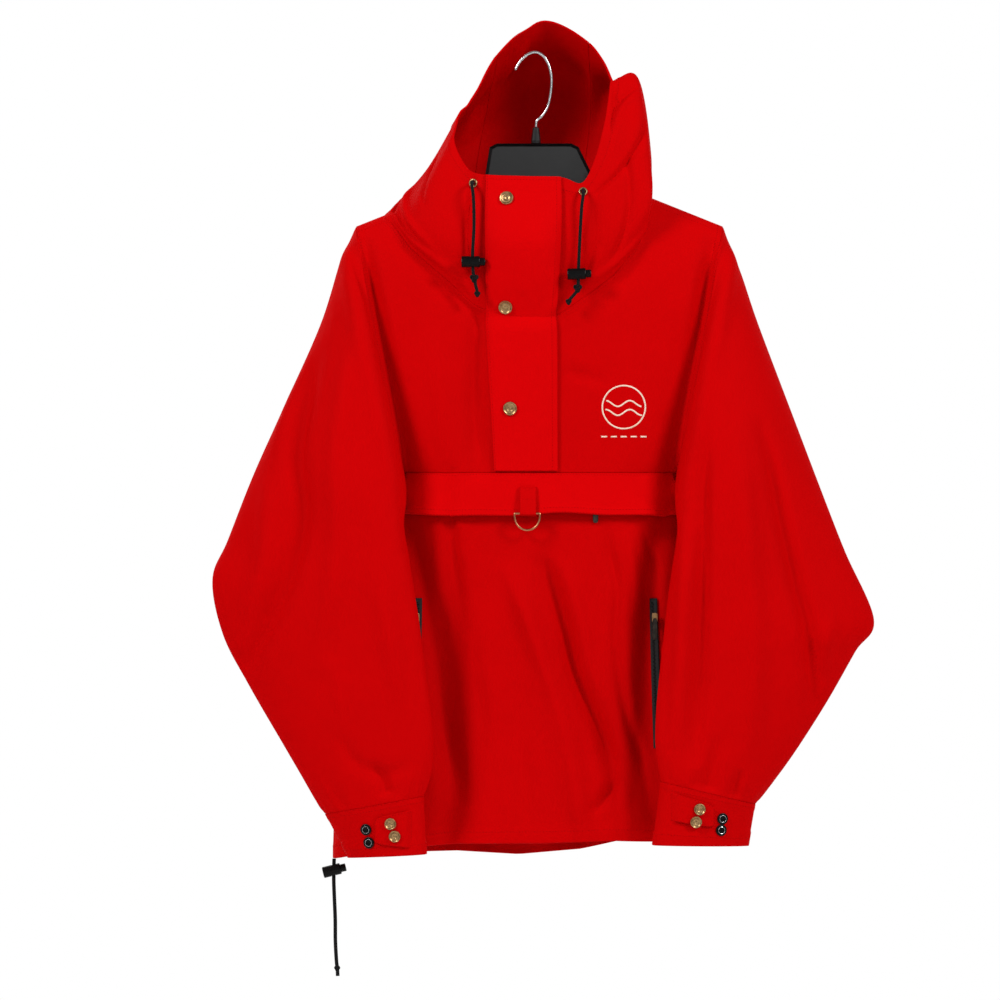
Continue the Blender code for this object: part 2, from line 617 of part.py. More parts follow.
def build_placket(mat):
    """Long flap down the middle of the collar and the chest."""
    columns = 5
    upper = hood_grid(PLACKET_RIGHT_SHARE, PLACKET_LEFT_SHARE, columns)[::-1, ::-1]
    share = np.linspace(0, 1, 9)[:, None]
    end_x = np.linspace(PLACKET_BOTTOM[0][0], PLACKET_BOTTOM[1][0], columns + 1)
    x = upper[-1, :, 0] + (end_x - upper[-1, :, 0]) * share
    z = upper[-1, :, 2] + (PLACKET_BOTTOM[0][1] - upper[-1, :, 2]) * share
    lower = on_body(x, z, -1)
    grid = np.concatenate([upper, lower[1:]])
    grid = move_out(grid, (WALL + DOUBLE_WALL) / 2 + 2 * REST)
    laid_sheet("placket", grid, mat, DOUBLE_WALL)
    return grid


# ---- sleeves and cuffs -------------------------------------------------------------------------
def ring_angles():
    """Angles round a ring from its outer fold over the front to the inner fold and back."""
    return np.linspace(0, 2 * math.pi, RING_STEPS, endpoint=False)


def flat_ring(outer, inner, y_inner, y_outer, depth):
    """A flattened ring between an outer and an inner fold, its depth an ellipse across."""
    angle = ring_angles()
    share = (1 - np.cos(angle)) / 2
    x = outer[0] + (inner[0] - outer[0]) * share
    z = outer[1] + (inner[1] - outer[1]) * share
    y = y_outer + (y_inner - y_outer) * share - depth / 2 * np.sin(angle)
    return np.stack([x, y, z], axis=-1)


def armhole_ring(side_sign):
    """The armhole on the body's form, from the shoulder end down the front and up the back."""
    angle = ring_angles()
    z = SHOULDER_END_Z + (UNDERARM_Z - SHOULDER_END_Z) * (1 - np.cos(angle)) / 2
    x = MID_X + side_sign * half_width(z)
    front = body_y(x, z, -1)
    back = body_y(x, z, 1)
    y = np.where(angle < math.pi, front, back)
    y[0] = 0.0
    y[RING_STEPS // 2] = 0.0
    return np.stack([x, y, z], axis=-1)


def sleeve_rings(side):
    """Rings of a sleeve: the armhole, then the table's sections."""
    first = 0 if side == "right" else 4
    rings = [armhole_ring(-1 if side == "right" else 1)]
    for row in SLEEVE_SECTIONS:
        outer_x, outer_z, inner_x, inner_z = row[first:first + 4]
        rings.append(flat_ring((outer_x, outer_z), (inner_x, inner_z), *row[8:]))
    return np.array(rings)


def build_sleeve(sheets, side):
    """One sleeve tube."""
    rings = sleeve_rings(side)
    grid = spline_at(rings, np.linspace(0, len(rings) - 1, SLEEVE_ROWS + 1))
    cloth(sheets, f"sleeve_{side}", grid, ring=True, top=3 * SEAM, bottom=SEAM)


def build_cuff(sheets, side):
    """Cuff band below the sleeve, open at its lower edge."""
    seam = sleeve_rings(side)[-1]
    edge = CUFF_EDGE[side]
    lower = flat_ring(edge[0:2], edge[2:4], *edge[4:])
    share = np.linspace(0, 1, CUFF_ROWS + 1)[:, None, None]
    grid = seam[None] + (lower - seam)[None] * share
    cloth(sheets, f"cuff_{side}", grid, ring=True, top=SEAM)
    return grid


def build_cuff_tab(side, cuff, mat):
    """Tab on the front of the cuff with a blunt pointed tip, made from the cuff's own points."""
    end_x, tip_x, top_end, top_tip, low_end, low_tip = CUFF_TABS[side]
    share = np.linspace(0, 1, 9)
    tip = np.clip((share - 0.8) / 0.2, 0, 1)
    middle = (top_tip + low_tip) / 2
    upper = top_end + (top_tip - top_end) * share
    lower = low_end + (low_tip - low_end) * share
    upper = upper + (middle - upper) * 0.45 * tip ** 2
    lower = lower + (middle - lower) * 0.45 * tip ** 2
    down = np.linspace(0, 1, 4)[:, None]
    x = (end_x + (tip_x - end_x) * share)[None] + 0 * down
    z = upper[None] + (lower - upper)[None] * down
    grid = move_out(points_on(cuff, x, z), (WALL + DOUBLE_WALL) / 2 + 3 * REST)
    laid_sheet(f"cuff_tab_{side}", grid, mat, DOUBLE_WALL)
    return grid


# ---- small pieces on the cloth -----------------------------------------------------------------
def frame_on(grid, x, z):
    """Point and outward normal of a grid's middle surface at x, z, where a line from the front meets it."""
    rows, columns = grid.shape[:2]
    index = np.arange(rows * columns).reshape(rows, columns)
    quads = np.stack([index[:-1, :-1], index[:-1, 1:], index[1:, 1:], index[1:, :-1]], axis=-1)
    tree = BVHTree.FromPolygons(grid.reshape(-1, 3).tolist(), quads.reshape(-1, 4).tolist())
    at, normal, _, _ = tree.ray_cast(Vector((x, -1000, z)), Vector((0, 1, 0)))
    if at is None:
        raise ValueError(f"nothing behind {x}, {z}")
    return np.array(at), np.array(normal if normal.y < 0 else -normal)


def points_on(grid, x, z):
    """Points of a grid's middle surface at arrays of x and z."""
    return np.array([[frame_on(grid, px, pz)[0] for px, pz in zip(row_x, row_z)] for row_x, row_z in zip(x, z)])


def seat(point, normal, distance):
    """Placement whose Z axis is the normal, a distance out of the middle surface."""
    turn = Vector((0, 0, 1)).rotation_difference(Vector(normal.tolist())).to_matrix().to_4x4()
    return Matrix.Translation(Vector(((point + normal * distance) * MM).tolist())) @ turn


def disc_seat(grid, x, z, radius, clearance):
    """Placement of a disc on a grid's middle surface, its back clear of the cloth all round."""
    angles = np.linspace(0, 2 * math.pi, 8, endpoint=False)
    ring = [frame_on(grid, x + radius * math.cos(a), z + radius * math.sin(a))[0] for a in angles]
    centre = frame_on(grid, x, z)[0]
    normal = np.cross(ring[0] - ring[4], ring[2] - ring[6])
    normal *= -np.sign(normal[1]) / np.linalg.norm(normal)
    rise = max(0.0, float(np.max((np.array(ring) - centre) @ normal)))
    return seat(centre, normal, clearance + rise)


def turned(name, profile, place, mat, steps=14, closed=False):
    """Spin (radius, height) points round Z: closed profiles make rings, others start on the axis."""
    bm = bmesh.new()
    verts = [bm.verts.new((radius * MM, 0, height * MM)) for radius, height in profile]
    edges = [bm.edges.new(pair) for pair in zip(verts, verts[1:])]
    if closed:
        edges.append(bm.edges.new((verts[-1], verts[0])))
    bmesh.ops.spin(bm, geom=verts + edges, axis=(0, 0, 1), cent=(0, 0, 0), steps=steps, angle=2 * math.pi)
    bmesh.ops.remove_doubles(bm, verts=bm.verts, dist=1e-6)
    bmesh.ops.recalc_face_normals(bm, faces=bm.faces)
    mesh = bpy.data.meshes.new(name)
    bm.to_mesh(mesh)
    bm.free()
    mesh.shade_smooth()
    mesh.set_sharp_from_angle(angle=math.radians(35))
    obj = add_object(name, mesh, mat)
    obj.matrix_world = place
    return obj


def dome_cap(name, radius, place, mat):
    """Pressed snap cap: raised rim and a shallow dish."""
    profile = ((0, 0), (radius, 0), (radius, 1.6), (radius * 0.86, 2.3), (radius * 0.72, 1.7), (0, 2.0))
    return turned(name, profile, place, mat)


def socket_ring(name, radius, place, mat):
    """Snap socket: a rounded ring with an open middle."""
    profile = ((radius * 0.36, 0), (radius, 0), (radius * 0.9, 1.6), (radius * 0.5, 1.9))
    return turned(name, profile, place, mat, closed=True)


def build_snaps(placket, cuffs, tabs, brass, black):
    """Three snaps on the placket, two caps on each cuff tab and two sockets beside it."""
    on_double = DOUBLE_WALL / 2 + REST
    for number, (x, z) in enumerate(SNAPS, 1):
        place = disc_seat(placket, x, z, SNAP_RADIUS, on_double)
        dome_cap(f"placket_snap_{number}", SNAP_RADIUS, place, brass)
    for side in ("right", "left"):
        for number, (x, z) in enumerate(CAPS[side], 1):
            place = disc_seat(tabs[side], x, z, CAP_RADIUS / 2, on_double)
            dome_cap(f"cuff_cap_{side}_{number}", CAP_RADIUS, place, brass)
        for number, (x, z) in enumerate(SOCKETS[side], 1):
            place = disc_seat(cuffs[side], x, z, SOCKET_RADIUS, WALL / 2 + REST)
            socket_ring(f"cuff_socket_{side}_{number}", SOCKET_RADIUS, place, black)


def build_eyelets(hood, brass):
    """Metal eyelets in the collar where the hood cord comes out."""
    for side, (x, z) in EYELETS.items():
        place = disc_seat(hood[f"hood_side_{side}"], x, z, EYELET_RADIUS, WALL / 2 + REST)
        profile = ((EYELET_HOLE, 0), (EYELET_RADIUS, 0), (EYELET_RADIUS - 0.4, 0.7),
                   (EYELET_HOLE + 1.0, 1.2), (EYELET_HOLE + 0.2, 0.8))
        turned(f"eyelet_{side}", profile, place, brass, closed=True)


# ---- cords and their locks ---------------------------------------------------------------------
def cord_points(name, diameter):
    """Evenly spaced points and radii of a cord, read from a smooth curve through its route."""
    route = np.array(CORD_ROUTES[name], float)
    where = np.linspace(0, len(route) - 1, 400)
    fine = spline_at(route, where)
    length = np.concatenate([[0], np.cumsum(np.linalg.norm(np.diff(fine[:, :3], axis=0), axis=1))])
    at_route = np.interp(np.arange(len(route)), where, length)
    count = max(int(length[-1] / (CORD_SPACING * diameter)), 12)
    stops = [np.linspace(0, length[-1], count), at_route[1:3], at_route[route[:, 3] > 1.0]]
    stops = np.unique(np.concatenate(stops))
    keep = np.concatenate([[True], np.diff(stops) > 1.2])
    return np.stack([np.interp(stops[keep], length, fine[:, axis]) for axis in range(4)], axis=-1)


def tube(name, points, diameter, mat, sides=2):
    """A poly curve with a round bevel and filled ends."""
    curve = bpy.data.curves.new(name, "CURVE")
    curve.dimensions = "3D"
    curve.bevel_depth = diameter / 2 * MM
    curve.bevel_resolution = sides
    curve.use_fill_caps = True
    curve.render_resolution_u = 0
    spline = curve.splines.new("POLY")
    spline.points.add(len(points) - 1)
    for target, point in zip(spline.points, points):
        target.co = (point[0] * MM, point[1] * MM, point[2] * MM, 1.0)
        target.radius = point[3] if len(point) > 3 else 1.0
    curve.materials.append(mat.copy())
    obj = bpy.data.objects.new(name, curve)
    bpy.context.scene.collection.objects.link(obj)
    return obj


def cylinder_mesh(radius, start, end, axis, steps=12):
    """A closed cylinder between two places on an axis, 0 for X and 2 for Z, as a bmesh."""
    bm = bmesh.new()
    turn = Matrix.Rotation(math.pi / 2, 4, "Y") if axis == 0 else Matrix.Identity(4)
    shift = Vector(((start + end) / 2 * MM, 0, 0)) if axis == 0 else Vector((0, 0, (start + end) / 2 * MM))
    bmesh.ops.create_cone(bm, cap_ends=True, segments=steps, radius1=radius * MM, radius2=radius * MM,
                          depth=(end - start) * MM, matrix=Matrix.Translation(shift) @ turn)
    return bm


def extruded(outline, move):
    """A flat outline of points drawn out along a vector, as a closed bmesh."""
    bm = bmesh.new()
    face = bm.faces.new([bm.verts.new(Vector(point) * MM) for point in outline])
    moved = bmesh.ops.extrude_face_region(bm, geom=[face])
    far = [item for item in moved["geom"] if isinstance(item, bmesh.types.BMVert)]
    bmesh.ops.translate(bm, verts=far, vec=Vector(move) * MM)
    bmesh.ops.recalc_face_normals(bm, faces=bm.faces)
    return bm


def object_from(bm, name, mat, place, hidden=False):
    """Put a bmesh into a placed object; a cutter is hidden."""
    mesh = bpy.data.meshes.new(name)
    bm.to_mesh(mesh)
    bm.free()
    mesh.shade_smooth()
    mesh.set_sharp_from_angle(angle=math.radians(35))
    obj = add_object(name, mesh, mat)
    obj.matrix_world = place
    obj.hide_render = hidden
    if hidden:
        obj.display_type = "WIRE"
    return obj


def cut(obj, cutter):
    """Cut one object with another."""
    modifier = obj.modifiers.new(cutter.name, "BOOLEAN")
    modifier.operation = "DIFFERENCE"
    modifier.object = cutter


def soften(obj, width):
    """Round an object's sharp edges."""
    bevel = obj.modifiers.new("edges", "BEVEL")
    bevel.width = width * MM
    bevel.segments = 2
    bevel.limit_method = "ANGLE"
    bevel.angle_limit = math.radians(40)


def build_lock(key, mat):
    """Cord lock: a barrel across the cord with a cord hole and a bore, and its spring plunger."""
    x, z, y, tilt, cord = LOCKS[key]
    place = (Matrix.Translation(Vector((x, y, z)) * MM)
             @ Matrix.Rotation(math.radians(-tilt), 4, "Y"))
    barrel = object_from(cylinder_mesh(LOCK_RADIUS, LOCK_LEFT, LOCK_RIGHT, 0), f"lock_{key}", mat, place)
    soften(barrel, 0.9)
    hole = cylinder_mesh(cord / 2 + 0.75, -2 * LOCK_RADIUS, 2 * LOCK_RADIUS, 2)
    upright = Matrix.Translation(place.translation)
    cut(barrel, object_from(hole, f"cutter_hole_{key}", mat, upright, hidden=True))
    bore = cylinder_mesh(PLUNGER_RADIUS + REST, PLUNGER_IN - PLUNGER_TRAVEL - REST, 2 * LOCK_RIGHT, 0)
    cut(barrel, object_from(bore, f"cutter_bore_{key}", mat, place, hidden=True))
    plunger_place = place @ Matrix.Translation(Vector((PLUNGER_IN * MM, 0, 0)))
    stem = cylinder_mesh(PLUNGER_RADIUS, 0, PLUNGER_OUT - PLUNGER_IN, 0)
    soften(object_from(stem, f"plunger_{key}", mat, plunger_place), 0.7)


def build_cords(mat):
    """The two ends of the hood cord and the hem cord's end."""
    tube("hood_cord_right", cord_points("hood_cord_right", HOOD_CORD), HOOD_CORD, mat)
    tube("hood_cord_left", cord_points("hood_cord_left", HOOD_CORD), HOOD_CORD, mat)
    tube("hem_cord", cord_points("hem_cord", HEM_CORD), HEM_CORD, mat)
    for key in LOCKS:
        build_lock(key, mat)


# ---- D-ring ------------------------------------------------------------------------------------
def build_ring(flap, cloth_mat, metal):
    """A strap folded round the ring's bar and sewn on the flap, and the D-ring hanging in it."""
    face = DOUBLE_WALL / 2 + 2 * REST
    top_y = frame_on(flap, RING_X, TAB_TOP_Z)[0][1] - face
    low_y = min(frame_on(flap, x, FLAP_BOTTOM_Z + 0.5)[0][1] for x in TAB_X) - face
    radius = RING_WIRE / 2 + STRAP_SLACK
    outer = radius + STRAP_WALL
    bar_y = low_y - outer
    arc = np.linspace(0, math.pi, 9)[1:]
    outline = [(top_y, TAB_TOP_Z), (low_y, RING_BAR_Z)]
    outline += [(bar_y + outer * math.cos(a), RING_BAR_Z - outer * math.sin(a)) for a in arc]
    outline += [(top_y - STRAP_UPPER, TAB_TOP_Z)]
    strap_mesh = extruded([(TAB_X[0], y, z) for y, z in outline], (TAB_X[1] - TAB_X[0], 0, 0))
    strap = object_from(strap_mesh, "ring_tab", cloth_mat, Matrix.Identity(4))
    hole_place = Matrix.Translation(Vector((RING_X, bar_y, RING_BAR_Z)) * MM)
    hole = cylinder_mesh(radius, -RING_HALF, RING_HALF, 0)
    cut(strap, object_from(hole, "cutter_ring_hole", metal, hole_place, hidden=True))
    angles = np.linspace(0, math.pi, 15)
    curve_points = [(RING_HALF * math.cos(a), 0.0, -RING_DROP * math.sin(a) ** 0.8) for a in angles]
    bar = [(x, 0.0, 0.0) for x in np.linspace(-RING_HALF, RING_HALF, 5)[1:-1]]
    ring = tube("d_ring", curve_points + bar, RING_WIRE, metal)
    ring.data.splines[0].use_cyclic_u = True
    ring.matrix_world = hole_place


# ---- zips --------------------------------------------------------------------------------------
def build_zip_tape(side, front, mat):
    """Closed zip of a hand pocket, made from the lower front's points and moved out."""
    x_top, x_bottom, z_top, z_bottom = POCKET_ZIPS[side]
    share = np.linspace(0, 1, 15)[:, None]
    across = np.linspace(-1, 1, 5)[None] * ZIP_TAPE_HALF
    x = x_top + (x_bottom - x_top) * share + across
    z = z_top + (z_bottom - z_top) * share + 0 * across
    grid = move_out(points_on(front, x, z), (WALL + ZIP_TAPE) / 2 + ZIP_LIFT[side])
    laid_sheet(f"pocket_zip_{side}", grid, mat, ZIP_TAPE)
    return grid


def box_mesh(size, centre):
    """A closed box as a bmesh."""
    bm = bmesh.new()
    scale = Matrix.Diagonal(Vector(size) * MM).to_4x4()
    bmesh.ops.create_cube(bm, size=1.0, matrix=Matrix.Translation(Vector(centre) * MM) @ scale)
    return bm


def build_slider(key, x, z, surface_y, metal):
    """Zip slider on the cloth and the pull that hangs from its bridge."""
    _, depth, height = SLIDER_SIZE[key]
    back = surface_y - REST
    place = Matrix.Translation(Vector((x, back - depth / 2, z)) * MM)
    slider = object_from(box_mesh(SLIDER_SIZE[key], (0, 0, 0)), f"slider_{key}", metal, place)
    soften(slider, 0.8)
    pivot = (x, back - depth - PULL_GAP - PULL_THICK / 2, z - PULL_HEAD)
    if key == "chest":
        pivot = (x, back - CHEST_PULL_OUT, z - height / 2 - REST - PULL_HEAD)
    length = PULL_LENGTH[key]
    bm = box_mesh((PULL_WIDTH, PULL_THICK, length), (0, 0, PULL_HEAD - length / 2))
    pull = object_from(bm, f"pull_{key}", metal, Matrix.Translation(Vector(pivot) * MM))
    soften(pull, 0.5)


def build_zips(front, zip_mat, metal):
    """Two hand-pocket zips and the chest pocket's slider, whose pull shows under the flap."""
    for side in ("right", "left"):
        tape = build_zip_tape(side, front, zip_mat)
        x, z = SLIDERS[side]
        point, _ = frame_on(tape, x, z)
        build_slider(side, x, z, point[1] - ZIP_TAPE / 2 - 2 * REST, metal)
    x, z = SLIDERS["chest"]
    y = frame_on(front, x, z)[0][1] - WALL / 2 - REST
    build_slider("chest", x, z, y, metal)


# ---- hanger ------------------------------------------------------------------------------------
def hanger_outline():
    """Outline of the hanger, seen from the front: a raised middle block and two sloping arms."""
    out, back, down = HANGER_CORNER
    outline = []
    for sign, corner in zip((-1, 1), HANGER_BLOCK_X):
        arm_x = MID_X + sign * np.linspace(HANGER_HALF, HANGER_ARM_START, 4)
        side = [(x, float(shoulder_z(x)) - HANGER_DROP) for x in arm_x]
        side += [(corner + sign * out, HANGER_BLOCK_Z - down), (corner - sign * back, HANGER_BLOCK_Z)]
        outline += side if sign < 0 else side[::-1]
    end_z = float(shoulder_z(MID_X + HANGER_HALF)) - HANGER_DROP
    outline += [(MID_X + reach, end_z + up) for reach, up in HANGER_UNDER]
    outline += [(MID_X - reach, end_z + up) for reach, up in HANGER_UNDER[::-1]]
    return outline


def build_hanger(plastic, steel):
    """Moulded hanger with a rim round a thin web, its neck boss and the wire hook."""
    outline = hanger_outline()
    bm = extruded([(x, -HANGER_THICK / 2, z) for x, z in outline], (0, HANGER_THICK, 0))
    large = [item for item in bm.faces if len(item.verts) == len(outline)]
    recess = (HANGER_THICK - HANGER_WEB) / 2
    bmesh.ops.inset_region(bm, faces=large, thickness=HANGER_RIM * MM, use_even_offset=True)
    for item in large:
        offset = item.normal * -recess * MM
        bmesh.ops.translate(bm, verts=list(item.verts), vec=offset)
    object_from(bm, "hanger", plastic, Matrix.Identity(4))
    neck_foot = HANGER_BLOCK_Z + REST
    profile = ((0, 0), (5.6, 0), (5.6, 3.0), (3.6, 17.6), (0, 17.6))
    place = Matrix.Translation(Vector((HANGER_STEM_X, 0, neck_foot)) * MM)
    turned("hanger_neck", profile, place, plastic, steps=16)
    route = np.array([(x, 0.0, z) for x, z in HOOK_ROUTE])
    points = spline_at(route, np.linspace(0, len(route) - 1, 30))
    tube("hanger_hook", points, HOOK_WIRE, steel)


def main():
    """Build every piece."""
    clear_scene()
    shell = finish("shell_cloth", RED, 0.62, 0.0)
    black = finish("black_plastic", BLACK, 0.42, 0.0)
    cord = finish("black_cord", BLACK, 0.85, 0.0)
    brass = finish("antique_brass", BRASS, 0.38, 1.0)
    ring_metal = finish("copper_brass", COPPER_BRASS, 0.35, 1.0)
    steel = finish("bright_steel", STEEL, 0.25, 1.0)
    sheets = []
    hood = build_hood(sheets)
    front = build_body(sheets)
    cuffs = {}
    tabs = {}
    for side in ("right", "left"):
        build_sleeve(sheets, side)
        cuffs[side] = build_cuff(sheets, side)
    build_sheets(sheets, shell)
    for side in ("right", "left"):
        tabs[side] = build_cuff_tab(side, cuffs[side], shell)
    flap = build_flap(shell)
    placket = build_placket(shell)
    build_snaps(placket, cuffs, tabs, brass, black)
    build_eyelets(hood, brass)
    build_cords(cord)
    build_ring(flap, shell, ring_metal)
    build_zips(front, black, brass)
    build_hanger(black, steel)


main()
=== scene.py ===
"""Hooded anorak pullover on a plastic hanger, dressed over its CAD frame.

The file is laid out as a Blender add-on and is run as a script.  Tables are in millimetres, in the
frame of the CAD model: the origin is the inside top of the hanger's hook, +Z is up, the front faces -Y
and +X is the wearer's left.
"""
import math

import bmesh
import bpy
import numpy as np
from bpy.props import FloatProperty, FloatVectorProperty, PointerProperty
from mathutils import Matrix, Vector
from mathutils.bvhtree import BVHTree


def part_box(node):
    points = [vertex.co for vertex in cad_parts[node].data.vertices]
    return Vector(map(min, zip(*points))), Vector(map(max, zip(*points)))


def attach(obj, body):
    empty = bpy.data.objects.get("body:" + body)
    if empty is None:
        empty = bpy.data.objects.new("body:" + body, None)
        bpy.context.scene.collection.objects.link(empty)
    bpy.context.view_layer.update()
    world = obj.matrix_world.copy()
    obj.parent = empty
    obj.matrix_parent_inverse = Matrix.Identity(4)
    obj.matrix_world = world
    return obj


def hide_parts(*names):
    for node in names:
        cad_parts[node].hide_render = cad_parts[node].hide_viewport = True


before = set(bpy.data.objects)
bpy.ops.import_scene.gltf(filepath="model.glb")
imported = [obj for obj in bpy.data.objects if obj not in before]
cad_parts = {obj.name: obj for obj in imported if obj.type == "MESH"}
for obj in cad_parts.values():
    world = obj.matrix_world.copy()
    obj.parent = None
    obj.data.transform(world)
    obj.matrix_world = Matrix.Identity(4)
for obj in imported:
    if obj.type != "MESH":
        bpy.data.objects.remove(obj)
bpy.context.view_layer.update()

bl_info = {
    "name": "Anorak pullover",
    "version": (1, 0, 0),
    "blender": (4, 5, 0),
    "location": "3D View > Sidebar > Anorak",
    "description": "Builds a hooded anorak pullover hanging on a plastic hanger",
    "category": "Object",
}

MM = 0.001

# ---- the body's form ---------------------------------------------------------------------------
MID_X = 3.0                # middle of the body
CENTRE_X = -14.6           # middle of the front opening, where the chest's halves meet
SHOULDER_TOP_Z = -135.0
SHOULDER_FLAT = 55.0       # half width of the level part of the shoulder line
SHOULDER_SLOPE = 0.40
SHOULDER_HALF = 206.0
UNDERARM_HALF = 157.5
UNDERARM_Z = -471.5
HEM_HALF = 232.0
SIDE_HEM_Z = -906.0
FRONT_Y = -42.0
BACK_Y = 52.0
SIDE_SEAM_Y = 25.0
SEAM_RUN = 45.0            # height below the underarm over which the side seam goes back to its depth
SIDE_ROUNDING = 80.0       # width over which the front and back round off towards the side seam
HEM_ROUNDING = 40.0        # more of it at the hem, reached over ROUNDING_RUN below the underarm
ROUNDING_RUN = 150.0
SHOULDER_END_Z = SHOULDER_TOP_Z - SHOULDER_SLOPE * (SHOULDER_HALF - SHOULDER_FLAT)
ARM_CENTRE_Z = (SHOULDER_END_Z + UNDERARM_Z) / 2
ARM_HALF_HEIGHT = (SHOULDER_END_Z - UNDERARM_Z) / 2

RING_STEPS = 144           # points round a sleeve or armhole
RIB_STEPS = 12             # columns between two ribs of the hood
SHOULDER_STEPS = 14        # columns that start on the shoulder line
SHOULDER_SHARE = 0.22      # part of the underarm level's width that they take
LOWER_HEIGHT = 420.0       # usual height of a lower panel
LOWER_ROWS = 96
ROW_POWER = 1.08           # rows lie a little closer together near the underarm
# Relief of the creases over the heights in their tables
TROUGH_GAIN = 1.85
RIDGE_GAIN = 1.6
SLEEVE_GAIN = 0.95
BACK_GAIN = 1.3
LEAN_SHARE = 0.55          # how much narrower or wider a crease with a lean of 1 is on either side
SEAM_STOPS = (0.35, 0.9, 1.8, 6.2, 7.9)     # rows of points beside a seam, distance from it

# Large folds: x_top, z_top, x_bottom, z_bottom, half width, height out of the cloth
FRONT_FOLDS = (
    (-4, -545, 84, -800, 15, -8.0),
    (-30, -560, 50, -860, 18, 6.0),
    (-103, -540, -98, -890, 16, -8.0),
    (92, -530, 96, -880, 16, 6.0),
    (128, -545, 132, -880, 12, -7.0),
    (-60, -600, -66, -890, 18, 4.0),
)
BACK_FOLDS = (
    (-40, -330, -90, -860, 20, 7.0),
    (30, -380, 64, -880, 17, -7.0),
    (118, -430, 128, -880, 18, 6.0),
    (-130, -450, -146, -880, 16, -6.0),
)
# Hem height: share of the half width, z
FRONT_HEM = ((-1.0, -906), (-0.75, -893), (-0.4, -886), (0.0, -886), (0.35, -883), (0.7, -885), (1.0, -886))
BACK_HEM = ((-1.0, -906), (-0.75, -901), (-0.4, -899), (-0.1, -903), (0.2, -897), (0.4, -887), (1.0, -886))

# Creases laid into the large form.  half width, lean from -1 to 1 (which side is steeper), then
# points x, z, height along the line.  Height is out of the cloth, a trough is negative.
FRONT_CREASES = (
    # long diagonal fold from under the D-ring to the hem, its lit edge and the hollow below it
    (7, 0.5, (3, -560, 0), (21, -597, -3.5), (33, -640, -5), (43, -692, -6), (60, -733, -6), (76, -768, -5),
     (86, -800, -3), (85, -838, -2), (90, -880, -1)),
    (10, -0.3, (-40, -566, 0), (-22, -610, 3), (-4, -655, 3.5), (16, -710, 3), (34, -770, 3), (44, -830, 2),
     (48, -880, 1)),
    (9, 0.0, (18, -558, 0), (34, -590, 2.5), (48, -640, 3), (58, -690, 2.5), (72, -724, 1)),
    (6, 0.2, (94, -812, 0), (84, -826, -3.5), (70, -842, -3), (60, -856, 0)),
    # soft folds from the chest pocket's seam
    (7, 0.3, (-96, -470, -1.5), (-95, -520, -2.5), (-92, -560, -3.5), (-84, -610, -2), (-80, -660, 0)),
    (8, 0.0, (-112, -520, 0), (-108, -590, 2.5), (-98, -640, 2), (-92, -700, 0)),
    (6, 0.0, (76, -528, 0), (82, -560, -3), (90, -600, -3.5), (88, -660, -3), (98, -735, -3.5),
     (118, -800, -2), (124, -860, 0)),
    (6, 0.0, (98, -532, 0), (106, -566, 2), (112, -600, 2), (112, -640, 0)),
    (5, 0.0, (117, -528, 0), (124, -552, -2), (132, -575, -2), (136, -600, 0)),
    (9, 0.0, (-70, -640, 0), (-66, -700, -2), (-60, -760, -2.5), (-62, -830, 0)),
    (12, 0.0, (-20, -700, 0), (-22, -760, -2), (-14, -820, -2.5), (-10, -880, -1)),
    (14, 0.0, (-120, -760, 0), (-112, -810, 2.5), (-100, -850, 2), (-90, -890, 1)),
    # troughs beside the placket and under the collar
    (11, 0.2, (-64, -296, -3), (-66, -340, -4.5), (-66, -385, -5), (-66, -430, -4.5), (-64, -468, -2)),
    (9, 0.0, (-168, -203, 0), (-149, -221, -3), (-110, -259, -4), (-80, -285, -3.6), (-64, -303, -2.4)),
    (10, 0.0, (126, -224, 0), (106, -246, -2.4), (84, -268, -2.4), (62, -284, 0)),
    # the chest dips beside the armholes, under the swell of the sleeves
    (9, 0.0, (-196, -216, -12), (-187, -262, -20), (-174, -325, -18), (-161, -392, -16), (-149, -450, -12),
     (-143, -480, -5)),
    (9, 0.0, (199, -218, -12), (190, -262, -20), (179, -325, -18), (167, -392, -16), (154, -450, -12),
     (148, -480, -5)),
    (8, 0.0, (26, -352, 0), (44, -362, -1.5), (64, -366, -1.5), (80, -372, 0)),
    (14, 0.0, (-120, -300, 0), (-112, -360, 2.5), (-104, -420, 2.5), (-100, -468, 1)),
    (12, 0.0, (160, -300, 0), (158, -350, -3), (150, -410, -3), (144, -462, -1.5)),
    (16, 0.0, (-168, -330, 0), (-158, -380, -3), (-148, -430, -3), (-142, -466, -2)),
    (13, 0.0, (96, -320, 0), (100, -380, 1.8), (104, -440, 1.5), (104, -470, 0.5)),
    # hollows where the sleeves push the sides in
    (12, 0.3, (-158, -430, 0), (-148, -500, -3.5), (-130, -586, -4.4), (-114, -692, -4.4), (-108, -748, -4),
     (-90, -804, -2.4), (-84, -850, 0)),
    (12, -0.3, (158, -430, 0), (146, -500, -3.5), (125, -586, -4.4), (119, -670, -4.4), (117, -759, -4),
     (114, -815, -2.4), (111, -860, 0)),
    (30, 0.0, (-100, -530, 0), (-98, -630, -2.6), (-94, -760, -3.0), (-90, -860, -1)),
    (28, 0.0, (86, -550, 0), (86, -650, -2.6), (88, -760, -3.2), (90, -860, -1)),
)
